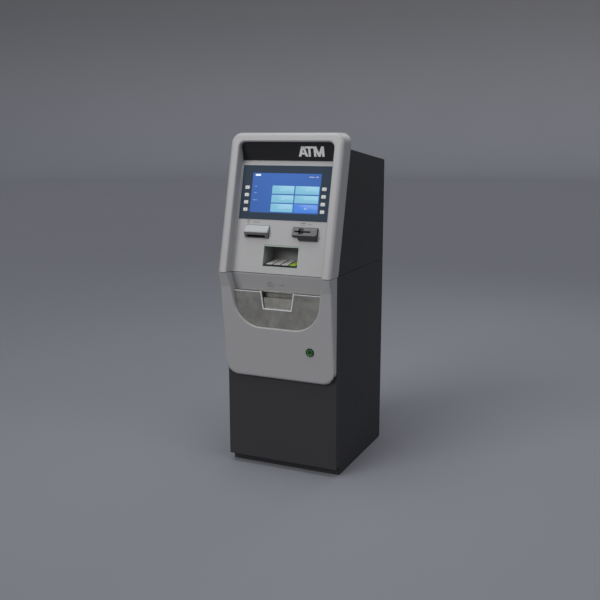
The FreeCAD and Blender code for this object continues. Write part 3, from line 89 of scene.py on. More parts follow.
class Finish:
    """A material under construction: a Principled shader whose varying inputs are fed by expressions."""

    def __init__(self, name, colour, roughness=0.5, **uniform):
        self.material = bpy.data.materials.new(name)
        self.material.use_nodes = True
        self.tree = self.material.node_tree
        self.shader = self.tree.nodes["Principled BSDF"]
        self.shader.inputs["Base Color"].default_value = (*colour, 1)
        self.shader.inputs["Roughness"].default_value = roughness
        for socket, value in uniform.items():
            self.shader.inputs[socket.replace("_", " ")].default_value = value
        self.colour = colour

    def node(self, kind, settings, values, output=0):
        made = self.tree.nodes.new(kind)
        for setting, value in settings.items():
            if setting == "stops":
                self.set_stops(made.color_ramp, value)
            else:
                setattr(made, setting, value)
        for socket, value in values.items():
            self.feed(made.inputs[socket], value)
        return Wire(self, made.outputs[output])

    @staticmethod
    def set_stops(ramp, stops):
        while len(ramp.elements) < len(stops):
            ramp.elements.new(0.5)
        for element, (position, colour) in zip(ramp.elements, stops):
            element.position = position
            element.color = (*colour, 1)

    def feed(self, socket, value):
        if isinstance(value, Wire):
            self.tree.links.new(value.socket, socket)
        elif socket.type == "RGBA" and len(value) == 3:
            socket.default_value = (*value, 1)
        else:
            socket.default_value = value

    def set(self, **inputs):
        for socket, value in inputs.items():
            self.feed(self.shader.inputs[socket.replace("_", " ")], value)
        return self

    def place(self, scale=(1, 1, 1), shift=(0, 0, 0)):
        """Object coordinates in metres, stretched and shifted."""
        here = self.node("ShaderNodeTexCoord", {}, {}, "Object")
        return self.node("ShaderNodeMapping", {}, {"Vector": here, "Scale": scale, "Location": shift})

    def axes(self, place=None):
        """The three object coordinates one by one."""
        place = place or self.place()
        return [self.node("ShaderNodeSeparateXYZ", {}, {0: place}, axis) for axis in "XYZ"]

    def noise(self, scale, detail=3.0, rough=0.5, place=None):
        return self.node("ShaderNodeTexNoise", {}, {
            "Vector": place or self.place(), "Scale": scale, "Detail": detail, "Roughness": rough})

    def mix(self, amount, first, second, blend="MIX"):
        settings = {"data_type": "RGBA", "blend_type": blend}
        return self.node("ShaderNodeMix", settings, {0: amount, 6: first, 7: second}, 2)

    def rounded_edge(self, radius):
        """A normal that rolls over sharp edges."""
        return self.node("ShaderNodeBevel", {"samples": 6}, {"Radius": radius})

    def edge_wear(self, radius, start=0.02, full=0.25):
        """1 on sharp edges, 0 on flat ground."""
        soft = self.rounded_edge(radius)
        true = self.node("ShaderNodeNewGeometry", {}, {}, "Normal")
        likeness = self.node("ShaderNodeVectorMath", {"operation": "DOT_PRODUCT"}, {0: soft, 1: true}, "Value")
        return (1 - likeness).within(start, full)

    def bump(self, height, distance, normal):
        return self.node("ShaderNodeBump", {}, {"Height": height, "Distance": distance, "Strength": 1.0,
                                                "Normal": normal})

    def toned(self, colour, tone):
        """A colour multiplied by one grey value."""
        grey = self.node("ShaderNodeCombineColor", {}, {0: tone, 1: tone, 2: tone})
        return self.mix(1.0, colour, grey, "MULTIPLY")


def shade(colour, factor):
    return tuple(min(1, channel * factor) for channel in colour)


def painted(name, colour, roughness, grain_size, grain_depth, edge=0.8, worn=1.6, drift=0.12, coat=0.0, shine=0.5):
    """Sprayed or moulded surface: fine grain in the normal, slow drift in tone, edges rubbed lighter."""
    finish = Finish(name, colour, roughness, Coat_Weight=coat, Coat_Roughness=0.25, Specular_IOR_Level=shine)
    slow = finish.noise(2.3, 4.0)
    patches = finish.noise(11, 3.0)
    tone = (slow - 0.5) * drift + (patches - 0.5) * (drift * 0.5) + 1
    base = finish.toned(colour, tone)
    wear = finish.edge_wear(edge * MM)
    scuffed = wear * finish.noise(60, 2.0).within(0.42, 0.62)
    soft_edge = finish.rounded_edge(edge * MM)
    grain = finish.noise(1 / (grain_size * MM), 2.0)
    return finish.set(
        Base_Color=finish.mix(scuffed * 0.5, base, shade(colour, worn)),
        Roughness=(slow - 0.5) * 0.12 + (patches - 0.5) * 0.08 + roughness,
        Normal=finish.bump(grain, grain_depth * MM, normal=soft_edge)).material


def brushed(name, colour, roughness, along, depth=0.02, edge=0.5, blotch=0.0):
    """Bare metal with a brushed line along one axis and faint blotches."""
    finish = Finish(name, colour, roughness, Metallic=1.0)
    stretch = [2600, 2600, 2600]
    stretch["xyz".index(along)] = 25
    lines = finish.noise(1.0, 3.0, 0.6, finish.place(tuple(stretch)))
    mottle = finish.noise(38, 6.0, 0.65)
    cloud = finish.noise(7, 3.0)
    tone = (lines - 0.5) * 0.16 + (mottle - 0.5) * blotch + (cloud - 0.5) * blotch + 1
    base = finish.toned(colour, tone)
    return finish.set(
        Base_Color=base,
        Roughness=(mottle - 0.5) * 0.25 + (lines - 0.5) * 0.1 + roughness,
        Normal=finish.bump(lines, depth * MM, normal=finish.rounded_edge(edge * MM))).material


CHARCOAL = painted("charcoal_powder_coat", (0.026, 0.026, 0.03), 0.62, 0.9, 0.05, edge=1.0, worn=2.5)
DOOR_COAT = painted("door_powder_coat", (0.031, 0.03, 0.035), 0.6, 0.9, 0.05, edge=1.2, worn=2.5)
SILVER = painted("silver_grey_moulding", (0.43, 0.43, 0.44), 0.46, 0.5, 0.012, edge=0.8, worn=1.15, drift=0.05,
                 coat=0.08)
BLACK_GLOSS = painted("marquee_acrylic", (0.012, 0.012, 0.014), 0.22, 3.0, 0.002, edge=0.4, drift=0.1, coat=0.2)
BEZEL = painted("display_glass", (0.0395, 0.061, 0.093), 0.5, 3.0, 0.001, edge=0.3, worn=1.6, drift=0.06, shine=0.1)
DARK_PLASTIC = painted("dark_plastic", (0.05, 0.05, 0.055), 0.5, 0.35, 0.02, edge=0.4, worn=1.7)

FASCIA_TILT = math.radians(14)
bezel_low, bezel_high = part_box("display_bezel")


def split_tone_with_painted_shade(name, node, share, upper, lower, roughness=0.45, sunk=0.0):
    """A moulded bezel in one colour above a crisp line and another below it, near-black as painted shade where it is
    cut in below a depth.
    """
    finish = Finish(name, upper, roughness)
    low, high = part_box(node)
    across, depth, up = finish.axes()
    line = low.z + share * (high.z - low.z)
    above = up.within(line - 0.2 * MM, line + 0.2 * MM)
    panel = (up - bezel_low.z) * math.tan(FASCIA_TILT) + (bezel_low.y + 2 * MM)
    # painted shade: the parts set back behind this depth are turned near-black, as the shade inside the cut
    recess_shade = (depth - panel).within(-sunk * MM, (0.5 - sunk) * MM)
    drift = (finish.noise(14, 4.0) - 0.5) * 0.12 + 1
    tone = finish.toned(finish.mix(recess_shade, finish.mix(above, lower, upper), (0.006, 0.006, 0.007)), drift)
    scuffs = finish.edge_wear(0.4 * MM) * finish.noise(60, 2.0).within(0.42, 0.62)
    grain = finish.noise(2200, 2.0)
    return finish.set(Base_Color=finish.mix(scuffs * 0.3, tone, shade(upper, 1.3)),
                      Roughness=(grain - 0.5) * 0.1 + roughness,
                      Normal=finish.bump(grain, 0.012 * MM, normal=finish.rounded_edge(0.5 * MM))).material


# receipt bezel: the lighter upper colour is a painted lit top face and the darker lower colour a painted shaded band
RECEIPT_PLASTIC = split_tone_with_painted_shade("receipt_bezel_plastic", "receipt_bezel", 0.46, (0.46, 0.48, 0.49), (0.19, 0.19, 0.195))
# card bezel: lighter above the line and darker below, with near-black painted shade on the parts set back from its
# front
CARD_PLASTIC = split_tone_with_painted_shade("card_bezel_plastic", "card_bezel", 0.44, (0.16, 0.16, 0.17), (0.06, 0.06, 0.062), sunk=7)
TUB_PLASTIC = painted("tub_plastic", (0.36, 0.36, 0.355), 0.55, 0.4, 0.02, edge=0.4, worn=1.2)
WHITE_KEY = painted("side_key_white", (0.75, 0.76, 0.77), 0.4, 0.5, 0.006, edge=0.3, worn=1.0, drift=0.05)
PIN_KEY = painted("pin_key_grey", (0.6, 0.61, 0.6), 0.38, 0.5, 0.006, edge=0.3, worn=1.1, drift=0.08)
FUNCTION_KEY = painted("function_key_lime", (0.42, 0.6, 0.05), 0.38, 0.5, 0.006, edge=0.3, worn=1.1, drift=0.08)
KEYPAD_BLACK = painted("keypad_black", (0.02, 0.02, 0.022), 0.45, 0.4, 0.01, edge=0.4)
CASSETTE = painted("cassette_plastic", (0.07, 0.09, 0.13), 0.5, 0.5, 0.02, edge=0.8)
RUBBER = painted("roller_rubber", (0.03, 0.03, 0.03), 0.8, 0.3, 0.02, edge=0.4)
PAPER = painted("receipt_paper", (0.8, 0.8, 0.78), 0.9, 0.2, 0.004, edge=0.2, worn=1.0, drift=0.04)
STEEL = brushed("outlet_steel", (0.40, 0.394, 0.362), 0.44, "x", blotch=0.8)
ZINC = brushed("zinc_plated_steel", (0.55, 0.55, 0.57), 0.36, "z", blotch=0.2)
LOCK_STEEL = brushed("lock_steel", (0.06, 0.13, 0.06), 0.4, "x", blotch=0.1)


def lock_green():
    """Anodised ring: dark rim, bright groove, dark face, by distance from the lock's axis."""
    finish = Finish("lock_ring_green", (0.02, 0.09, 0.03), 0.3, Metallic=0.6)
    low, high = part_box("lock_ring")
    middle = (low + high) / 2
    across, depth, up = finish.axes()
    radius = ((across - middle.x).power(2) + (up - middle.z).power(2)).power(0.5)
    share = radius / ((high.x - low.x) / 2)
    tone = finish.node("ShaderNodeValToRGB", {"stops": [
        (0.0, (0.008, 0.02, 0.01)), (0.5, (0.01, 0.04, 0.015)), (0.56, (0.1, 0.42, 0.12)),
        (0.72, (0.08, 0.34, 0.1)), (0.78, (0.008, 0.035, 0.014)), (1.0, (0.004, 0.014, 0.008))]},
        {"Fac": share})
    scratches = finish.noise(260, 3.0)
    return finish.set(Base_Color=tone, Roughness=(scratches - 0.5) * 0.3 + 0.34,
                      Normal=finish.bump(scratches, 0.01 * MM, normal=finish.rounded_edge(0.5 * MM))).material


def screen_glow():
    """Lit blue screen: brighter towards its middle, with the fine grid of a flat panel."""
    finish = Finish("screen_blue", (0.004, 0.012, 0.04), 0.35, Specular_IOR_Level=0.15)
    low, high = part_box("lcd_module")
    across, depth, up = finish.axes()
    sideways = (across - (low.x + high.x) / 2) / ((high.x - low.x) / 2)
    rise = (up - low.z) / (high.z - low.z)
    fade = 1 - sideways.power(2) * 0.12
    grid = finish.node("ShaderNodeTexWave", {"bands_direction": "X"}, {
        "Vector": finish.place(), "Scale": 180.0}) * 0.04 + 0.98
    light = fade * grid * (rise * 0.12 + 0.94)
    glow = finish.node("ShaderNodeCombineColor", {}, {0: light * 0.03, 1: light * 0.115, 2: light * 0.4})
    return finish.set(Emission_Color=glow, Emission_Strength=1.0).material


def circuit_green():
    """Solder mask with tracks running in two directions and pale pads."""
    finish = Finish("circuit_board", (0.02, 0.12, 0.05), 0.4, Specular_IOR_Level=0.6)
    cells = finish.node("ShaderNodeTexBrick", {"offset": 0.5}, {
        "Vector": finish.place(), "Scale": 90.0, "Mortar Size": 0.04, "Color1": (0.012, 0.09, 0.035),
        "Color2": (0.02, 0.13, 0.055), "Mortar": (0.05, 0.22, 0.1)})
    pads = finish.node("ShaderNodeTexVoronoi", {}, {"Vector": finish.place(), "Scale": 140.0}).below(0.16)
    return finish.set(Base_Color=finish.mix(pads * 0.7, cells, (0.55, 0.5, 0.3)),
                      Roughness=0.5 - pads * 0.2,
                      Normal=finish.bump(pads, 0.05 * MM, normal=finish.rounded_edge(0.3 * MM))).material


def plain_light(name, colour, strength):
    """Lit mark on the screen, with the panel's fine grid."""
    finish = Finish(name, shade(colour, 0.2), 0.3)
    grid = finish.node("ShaderNodeTexWave", {"bands_direction": "X"}, {
        "Vector": finish.place(), "Scale": 180.0}) * 0.05 + 0.97
    parts = {index: grid * channel for index, channel in enumerate(colour)}
    return finish.set(Emission_Color=finish.node("ShaderNodeCombineColor", {}, parts),
                      Emission_Strength=strength).material


LOCK_GREEN = lock_green()
SCREEN = screen_glow()
BOARD = circuit_green()

KEY_RANGE = range(1, 5)
NODE_FINISH = {
    CHARCOAL: ("safe_body", "safe_decks", "head_cabinet", "power_supply"),
    DOOR_COAT: ("safe_door",),
    SILVER: ("upper_fascia", "apron"),
    BLACK_GLOSS: ("marquee_panel",),
    BEZEL: ("display_bezel",),
    SCREEN: ("lcd_module",),
    WHITE_KEY: [f"side_key_{side}_{n}" for side in ("left", "right") for n in KEY_RANGE],
    PIN_KEY: [f"pin_key_{row}_{column}" for row in KEY_RANGE for column in range(1, 4)],
    FUNCTION_KEY: [f"pin_key_{row}_4" for row in KEY_RANGE],
    KEYPAD_BLACK: ("keypad_plate",),
    TUB_PLASTIC: ("pinpad_tub",),
    RECEIPT_PLASTIC: ("receipt_bezel",),
    CARD_PLASTIC: ("card_bezel",),
    DARK_PLASTIC: ("card_reader", "receipt_printer", "apron_backing", "fan_frame", "fan_rotor",
                   "power_inlet"),
    STEEL: ("outlet_plate", "outlet_tray", "outlet_shutter"),
    ZINC: ("door_pivots", "hinge_cabinet_leaf", "hinge_fascia_leaf", "dispenser_frame", "bolt_bar", "rear_screws"),
    LOCK_GREEN: ("lock_ring",),
    LOCK_STEEL: ("lock_cylinder",),
    RUBBER: ("feed_roller",),
    CASSETTE: ("cash_cassette", "reject_bin"),
    PAPER: ("paper_roll",),
    BOARD: ("mainboard",),
}
for finish, nodes in NODE_FINISH.items():
    for node in nodes:
        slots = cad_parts[node].data.materials
        slots.clear()
        slots.append(finish)


# ---------------------------------------------------------------- modelling by hand
def start(shape, name, **place):
    """Adds a primitive at its size and place, selected on its own."""
    bpy.ops.object.select_all(action="DESELECT")
    getattr(bpy.ops.mesh, f"primitive_{shape}_add")(**place)
    piece = bpy.context.object
    piece.name = name
    piece.data.name = name
    return piece


def edit():
    bpy.ops.object.mode_set(mode="EDIT")
    bpy.ops.mesh.select_all(action="SELECT")


HAIR = 0.000001          # slack when the edges at one height are picked


def pick(piece, kind, test):
    """In edit mode, selects just the vertices, edges or faces that pass the test."""
    bpy.ops.mesh.select_mode(type={"verts": "VERT", "edges": "EDGE", "faces": "FACE"}[kind])
    bpy.ops.mesh.select_all(action="DESELECT")
    mesh = bmesh.from_edit_mesh(piece.data)
    for element in getattr(mesh, kind):
        element.select_set(bool(test(element)))
    mesh.select_flush_mode()
    bmesh.update_edit_mesh(piece.data)


def close_up(piece):
    """Merges doubles, turns the faces outwards and leaves edit mode."""
    bpy.ops.mesh.select_mode(type="VERT")
    bpy.ops.mesh.select_all(action="SELECT")
    bpy.ops.mesh.remove_doubles(threshold=0.00001)
    bpy.ops.mesh.normals_make_consistent(inside=False)
    bpy.ops.object.mode_set(mode="OBJECT")
    return piece


def settle(piece, place):
    """Puts a piece that was modelled flat at the origin on its ground, and leaves its object at the origin."""
    bpy.ops.object.select_all(action="DESELECT")
    piece.select_set(True)
    bpy.context.view_layer.objects.active = piece
    piece.matrix_world = place @ piece.matrix_world
    bpy.ops.object.transform_apply(location=True, rotation=True, scale=True)
    return piece


def merge(name, pieces):
    bpy.ops.object.select_all(action="DESELECT")
    for piece in pieces:
        piece.select_set(True)
    bpy.context.view_layer.objects.active = pieces[0]
    if len(pieces) > 1:
        bpy.ops.object.join()
    pieces[0].name = name
    pieces[0].data.name = name
    return pieces[0]


def fit(piece, finish, body, smooth=35):
    """Gives a finished piece its material, smoothing and body."""
    bpy.ops.object.select_all(action="DESELECT")
    piece.select_set(True)
    bpy.context.view_layer.objects.active = piece
    bpy.ops.object.shade_smooth_by_angle(angle=math.radians(smooth))
    piece.data.materials.clear()
    piece.data.materials.append(finish)
    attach(piece, body)
    return piece


def ground(node, origin, aim):
    """The place where a ray meets a CAD node: X across the machine, Z out of the surface."""
    found, point, normal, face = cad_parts[node].ray_cast(Vector(origin), Vector(aim))
    if not found:
        raise RuntimeError(f"no surface of {node} from {origin}")
    across = (Vector((1, 0, 0)) - normal * normal.x).normalized()
    up = normal.cross(across)
    place = Matrix((across, up, normal)).transposed().to_4x4()
    place.translation = point
    return place


def plate(name, middle, size, thickness, corner=0.0, out=0.0, soft=0.0):
    """A flat plate with round corners, its back at height out above its ground."""
    piece = start("plane", name, size=1, location=(*middle, out))
    piece.scale = (*size, 1)
    bpy.ops.object.transform_apply(location=True, scale=True)
    edit()
    if corner:
        bpy.ops.mesh.bevel(offset=corner, segments=5, affect="VERTICES")
        bpy.ops.mesh.select_all(action="SELECT")
    bpy.ops.mesh.extrude_region_move(TRANSFORM_OT_translate={"value": (0, 0, thickness)})
    if soft:
        top = out + thickness - HAIR
        pick(piece, "edges", lambda edge: all(vert.co.z > top for vert in edge.verts))
        bpy.ops.mesh.bevel(offset=soft, segments=2, affect="EDGES")
    return close_up(piece)


def frame_plate(name, middle, size, border, thickness, corner=0.0, out=0.0):
    """A plate with its middle taken out."""
    piece = start("plane", name, size=1, location=(*middle, out))
    piece.scale = (*size, 1)
    bpy.ops.object.transform_apply(location=True, scale=True)
    edit()
    if corner:
        bpy.ops.mesh.bevel(offset=corner, segments=4, affect="VERTICES")
        bpy.ops.mesh.select_all(action="SELECT")
    bpy.ops.mesh.inset(thickness=border)
    bpy.ops.mesh.delete(type="FACE")
    bpy.ops.mesh.select_all(action="SELECT")
    bpy.ops.mesh.extrude_region_move(TRANSFORM_OT_translate={"value": (0, 0, thickness)})
    return close_up(piece)


def lettering(name, words, middle, height, thickness, out=0.0, bold=0.0, align="CENTER"):
    """Raised letters of a height, centred on a point or starting there."""
    bpy.ops.object.select_all(action="DESELECT")
    bpy.ops.object.text_add()
    piece = bpy.context.object
    piece.data.body = words
    piece.data.size = height
    piece.data.offset = bold
    piece.data.extrude = thickness / 2
    piece.data.resolution_u = 3
    bpy.ops.object.convert(target="MESH")
    piece.name = name
    piece.data.name = name
    corners = [vert.co for vert in piece.data.vertices]
    low = Vector([min(corner[axis] for corner in corners) for axis in range(3)])
    high = Vector([max(corner[axis] for corner in corners) for axis in range(3)])
    grow = height / (high.y - low.y)
    anchor = (low + high) / 2 if align == "CENTER" else Vector((low.x, (low.y + high.y) / 2, 0))
    move = Matrix.Translation((*middle, out + thickness / 2))
    piece.matrix_world = move @ Matrix.Diagonal((grow, grow, 1, 1)) @ Matrix.Translation((-anchor.x, -anchor.y, 0))
    bpy.ops.object.transform_apply(location=True, rotation=True, scale=True)
    edit()
    return close_up(piece)


FORWARD = (0, 1, 0)
DOWN = (0, 0, -1)
INK = 0.0002             # how far printing stands out of its surface
SUNK = 0.0001            # how far its back reaches into the surface

PANEL = ground("upper_fascia", (0, -1, bezel_low.z - MM), FORWARD)
PANEL.translation += PANEL.to_3x3() @ Vector((0, MM, 0))
GLASS = ground("lcd_module", (0, -1, (bezel_low.z + bezel_high.z) / 2), FORWARD)
GLASS_RISE = (PANEL.inverted() @ GLASS.translation).z

# ---------------------------------------------------------------- marquee
marquee_low, marquee_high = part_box("marquee_panel")
MARQUEE = ground("marquee_panel", (0, -1, (marquee_low.z + marquee_high.z) / 2), FORWARD)
LETTERS = painted("marquee_letter_white", (0.9, 0.9, 0.9), 0.45, 0.6, 0.004, edge=0.2, worn=1.0, drift=0.03)
LETTER_HEIGHT = 0.042
STROKE = 0.0096
LETTER_RISE = 0.0012
LETTERS_LEFT = 0.042
LETTERS_WIDEN = 1.05


def stroke(foot, head, width=STROKE, low=-LETTER_HEIGHT / 2, high=LETTER_HEIGHT / 2, rise=LETTER_RISE):
    """One straight bar of a letter, from x = foot to x = head, with its ends cut level."""
    bar = start("plane", "letter_bar", size=1, location=(foot + width / 2, (low + high) / 2, -SUNK))
    bar.scale = (width, high - low, 1)
    bpy.ops.object.transform_apply(location=True, scale=True)
    edit()
    pick(bar, "verts", lambda vert: vert.co.y > (low + high) / 2)
    bpy.ops.transform.translate(value=(head - foot, 0, 0))
    bpy.ops.mesh.select_all(action="SELECT")
    bpy.ops.mesh.extrude_region_move(TRANSFORM_OT_translate={"value": (0, 0, rise)})
    top = rise - SUNK - HAIR
    pick(bar, "edges", lambda edge: all(vert.co.z > top for vert in edge.verts))
    bpy.ops.mesh.bevel(offset=0.0003, segments=2, affect="EDGES")
    return close_up(bar)


STEP = 0.00003
wide = STROKE * 1.12
letter_a = [stroke(LETTERS_LEFT, LETTERS_LEFT + 0.0135, wide),
            stroke(LETTERS_LEFT + 0.0295, LETTERS_LEFT + 0.016, wide),
            stroke(LETTERS_LEFT + 0.009, LETTERS_LEFT + 0.009, 0.022, -0.0125, -0.0045, LETTER_RISE - STEP)]
letter_t = [stroke(LETTERS_LEFT + 0.0295, LETTERS_LEFT + 0.0295, 0.034, 0.0125, LETTER_HEIGHT / 2),
            stroke(LETTERS_LEFT + 0.0417, LETTERS_LEFT + 0.0417, rise=LETTER_RISE - STEP)]
letter_m = [stroke(LETTERS_LEFT + 0.0645, LETTERS_LEFT + 0.0645), stroke(LETTERS_LEFT + 0.0983, LETTERS_LEFT + 0.0983),
            stroke(LETTERS_LEFT + 0.0815, LETTERS_LEFT + 0.0655, wide, rise=LETTER_RISE - STEP),
            stroke(LETTERS_LEFT + 0.0805, LETTERS_LEFT + 0.0965, wide, rise=LETTER_RISE - 2 * STEP)]
letters = merge("marquee_letters", letter_a + letter_t + letter_m)
fit(settle(letters, MARQUEE @ Matrix.Diagonal((LETTERS_WIDEN, 1, 1, 1))), LETTERS, "fascia",
    smooth=20)

# ---------------------------------------------------------------- picture on the screen
SCREEN_HALF = 0.1545
SCREEN_FOOT = 0.0285
SCREEN_HEIGHT = 0.1645
TILE_LIGHT = plain_light("screen_tile_light", (0.19, 0.45, 0.6), 1.0)
TILE_BLUE = plain_light("screen_tile_blue", (0.06, 0.2, 0.62), 1.0)
SCREEN_WHITE = plain_light("screen_white", (0.7, 0.75, 0.85), 1.0)
SCREEN_TEXT = plain_light("screen_text", (0.32, 0.5, 0.72), 1.0)
TILE_TEXT = plain_light("tile_text", (0.36, 0.6, 0.74), 1.0)


def on_screen(share_across, share_down):
    """A point of the picture, from shares of its width and of its height from the top."""
    return ((2 * share_across - 1) * SCREEN_HALF, SCREEN_FOOT + (1 - share_down) * SCREEN_HEIGHT)


TILE_COLUMNS = ((0.309, 0.63), (0.646, 0.985))
TILE_ROWS = ((0.316, 0.519), (0.549, 0.741), (0.768, 0.971))
TILE_WORDS = (("Balance", "Cash"), ("Transfer", "Deposit"), ("Statement", "Exit"))
tiles, tile_words, exit_parts = [], [], []
for row, (top, foot) in enumerate(TILE_ROWS):
    for column, (left, right) in enumerate(TILE_COLUMNS):
        low = on_screen(left, foot)
        high = on_screen(right, top)
        middle = ((low[0] + high[0]) / 2, (low[1] + high[1]) / 2)
        size = (high[0] - low[0], high[1] - low[1])
        name = f"screen_tile_{row + 1}_{column + 1}"
        tile = plate(name, middle, size, 0.0003, corner=0.0015, out=GLASS_RISE - SUNK, soft=0.00008)
        word = lettering(name + "_word", TILE_WORDS[row][column], middle, 0.0055, INK, out=GLASS_RISE + 0.00015)
        if TILE_WORDS[row][column] == "Exit":
            fit(settle(tile, PANEL), TILE_BLUE, "fascia")
            exit_parts.append(word)
        else:
            tiles.append(tile)
            tile_words.append(word)
fit(settle(merge("screen_tiles", tiles), PANEL), TILE_LIGHT, "fascia")
fit(settle(merge("screen_tile_words", tile_words), PANEL), TILE_TEXT, "fascia", smooth=20)
badge_place = on_screen(0.08, 0.055)
badge = plate("screen_badge", badge_place, (0.024, 0.0075), INK, corner=0.001, out=GLASS_RISE - SUNK / 2)
greeting = lettering("screen_greeting", "Welcome  12:00", on_screen(0.893, 0.085), 0.0042, INK,
                     out=GLASS_RISE - SUNK / 2)
exit_parts += [badge, greeting]
fit(settle(merge("screen_marks", exit_parts), PANEL), SCREEN_WHITE, "fascia", smooth=20)
menu = [lettering(f"screen_menu_{words}", words, on_screen(0.04, down), 0.0042, INK, out=GLASS_RISE - SUNK / 2,
                  align="LEFT") for words, down in (("English", 0.345), ("Espanol", 0.51), ("Francais", 0.685))]
fit(settle(merge("screen_menu", menu), PANEL), SCREEN_TEXT, "fascia", smooth=20)

# ---------------------------------------------------------------- side keys
TICK = (0.0042, 0.0007)
PRINT_WHITE = painted("printed_white", (0.6, 0.62, 0.65), 0.5, 0.5, 0.004, edge=0.2, worn=1.0, drift=0.04)
PRINT_GREY = painted("printed_grey", (0.12, 0.125, 0.14), 0.55, 0.5, 0.004, edge=0.2, worn=1.2, drift=0.1)
ticks = []
for side, towards_screen in (("left", 1), ("right", -1)):
    for n in KEY_RANGE:
        key = f"side_key_{side}_{n}"
        low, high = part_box(key)
        middle = (low + high) / 2
        face = ground(key, (middle.x, -1, middle.z), FORWARD)
        flat = PANEL.inverted() @ face.translation
        reach = (high.x - low.x) / 2 + 0.001 + TICK[0] / 2
        ticks.append(plate(f"tick_{side}_{n}", (middle.x + towards_screen * reach, flat.y), TICK, INK,
                           out=0.002 - SUNK))
        arrow = start("circle", f"side_key_mark_{side}_{n}", vertices=3, radius=0.0026, fill_type="NGON")
        edit()
        bpy.ops.mesh.bevel(offset=0.0004, segments=2, affect="VERTICES")
        bpy.ops.mesh.select_all(action="SELECT")
        bpy.ops.mesh.extrude_region_move(TRANSFORM_OT_translate={"value": (0, 0, INK)})
        close_up(arrow)
        turn = Matrix.Rotation(-towards_screen * math.pi / 2, 4, "Z")
        lower = Matrix.Translation((0, 0, -SUNK))
        fit(settle(arrow, face @ lower @ turn), PRINT_GREY, key)
fit(settle(merge("side_key_ticks", ticks), PANEL), PRINT_WHITE, "fascia")

# ---------------------------------------------------------------- keypad
PIN_WORDS = (("1", "2", "3", "X"), ("4", "5", "6", "<"), ("7", "8", "9", "O"), ("*", "0", "#", "+"))
for row, words in enumerate(PIN_WORDS, start=1):
    for column, word in enumerate(words, start=1):
        key = f"pin_key_{row}_{column}"
        low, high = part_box(key)
        middle = (low + high) / 2
        face = ground(key, (middle.x, middle.y, high.z + 0.01), DOWN)
        mark = lettering(f"{key}_mark", word, (0, 0), 0.0075 if word not in "*<+" else 0.0045, INK, out=-SUNK,
                         bold=0.00015)
        fit(settle(mark, face), PRINT_GREY, key,
            smooth=20)
tub_low, tub_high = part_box("pinpad_tub")
RIM = 0.0022
recess_low = (PANEL.inverted() @ Vector((0, tub_low.y, tub_low.z))).y
recess_high = recess_low + (tub_high.z - tub_low.z - 0.004) / PANEL.col[1].z
RIM_GREEN = painted("rim_pale_green", (0.42, 0.6, 0.5), 0.35, 0.5, 0.003, edge=0.3, worn=1.0, drift=0.05)
rim = frame_plate("pinpad_rim", ((tub_low.x + tub_high.x) / 2, (recess_low + recess_high) / 2),
                  (tub_high.x - tub_low.x + RIM, recess_high - recess_low + RIM), RIM, 0.0009, corner=0.002,
                  out=-SUNK)
fit(settle(rim, PANEL), RIM_GREEN, "fascia")

# ---------------------------------------------------------------- painted shadow round the receipt bezel, and printed signs
receipt_low, receipt_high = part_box("receipt_bezel")
RECEIPT_FOOT = -0.076
RECEIPT_HEAD = -0.026
# near-black for thin bars painted on as shadow lines
PAINTED_SHADOW_BLACK = painted("shadow_gap_black", (0.02, 0.021, 0.024), 0.6, 0.4, 0.004, edge=0.2)
# painted shadow: a thin near-black frame round the receipt bezel stands in for the shade in the gap around it
receipt_shadow = frame_plate("receipt_shadow_line", ((receipt_low.x + receipt_high.x) / 2, (RECEIPT_FOOT + RECEIPT_HEAD) / 2),
                  (receipt_high.x - receipt_low.x + 0.0036, RECEIPT_HEAD - RECEIPT_FOOT + 0.0036), 0.0018, INK,
                  corner=0.003, out=-SUNK)
fit(settle(receipt_shadow, PANEL), PAINTED_SHADOW_BLACK, "fascia")
SIGN_Y = -0.0125
SLIP_X = -0.1535
CARD_X = 0.094
slip = [frame_plate("slip", (SLIP_X, SIGN_Y), (0.010, 0.013), 0.0011, INK, out=-SUNK),
        plate("slip_slot", (SLIP_X, SIGN_Y + 0.0085), (0.018, 0.0014), INK, out=-SUNK)]
for line in range(3):
    slip.append(plate("slip_line", (SLIP_X, SIGN_Y + 0.003 - line * 0.003), (0.0055, 0.0008), INK, out=-SUNK))
slip.append(lettering("receipt_word", "RECEIPT", (-0.115, SIGN_Y), 0.0058, INK, out=-SUNK))
fit(settle(merge("receipt_sign", slip), PANEL), PRINT_GREY, "fascia", smooth=20)
card = [frame_plate("card", (CARD_X, SIGN_Y), (0.020, 0.0125), 0.0011, INK, corner=0.0015, out=-SUNK),
        plate("card_stripe", (CARD_X, SIGN_Y + 0.0022), (0.018, 0.0022), INK, out=-SUNK),
        lettering("card_word", "CARD", (0.125, SIGN_Y), 0.0058, INK, out=-SUNK)]
fit(settle(merge("card_sign", card), PANEL), PRINT_GREY, "fascia", smooth=20)

STRIP_SIGN = ground("apron", (0, -1, 0.808), FORWARD)
NOTE_X = -0.0365
note = [frame_plate("note", (NOTE_X, -0.004), (0.028, 0.014), 0.0014, INK, out=-SUNK),
        plate("note_mark", (NOTE_X, -0.004), (0.006, 0.006), INK, corner=0.0025, out=-SUNK),
        lettering("cash_word", "CASH", (0.016, -0.002), 0.0065, INK, out=-SUNK)]
for side in (-1, 1):
    bar = plate("note_arrow", (0, 0), (0.0115, 0.0015), INK, out=-SUNK)
    turn = Matrix.Rotation(-side * math.radians(38), 4, "Z")
    note.append(settle(bar, Matrix.Translation((NOTE_X + side * 0.0043, 0.0095, 0)) @ turn))
fit(settle(merge("cash_sign", note), STRIP_SIGN), PRINT_GREY, "door", smooth=20)
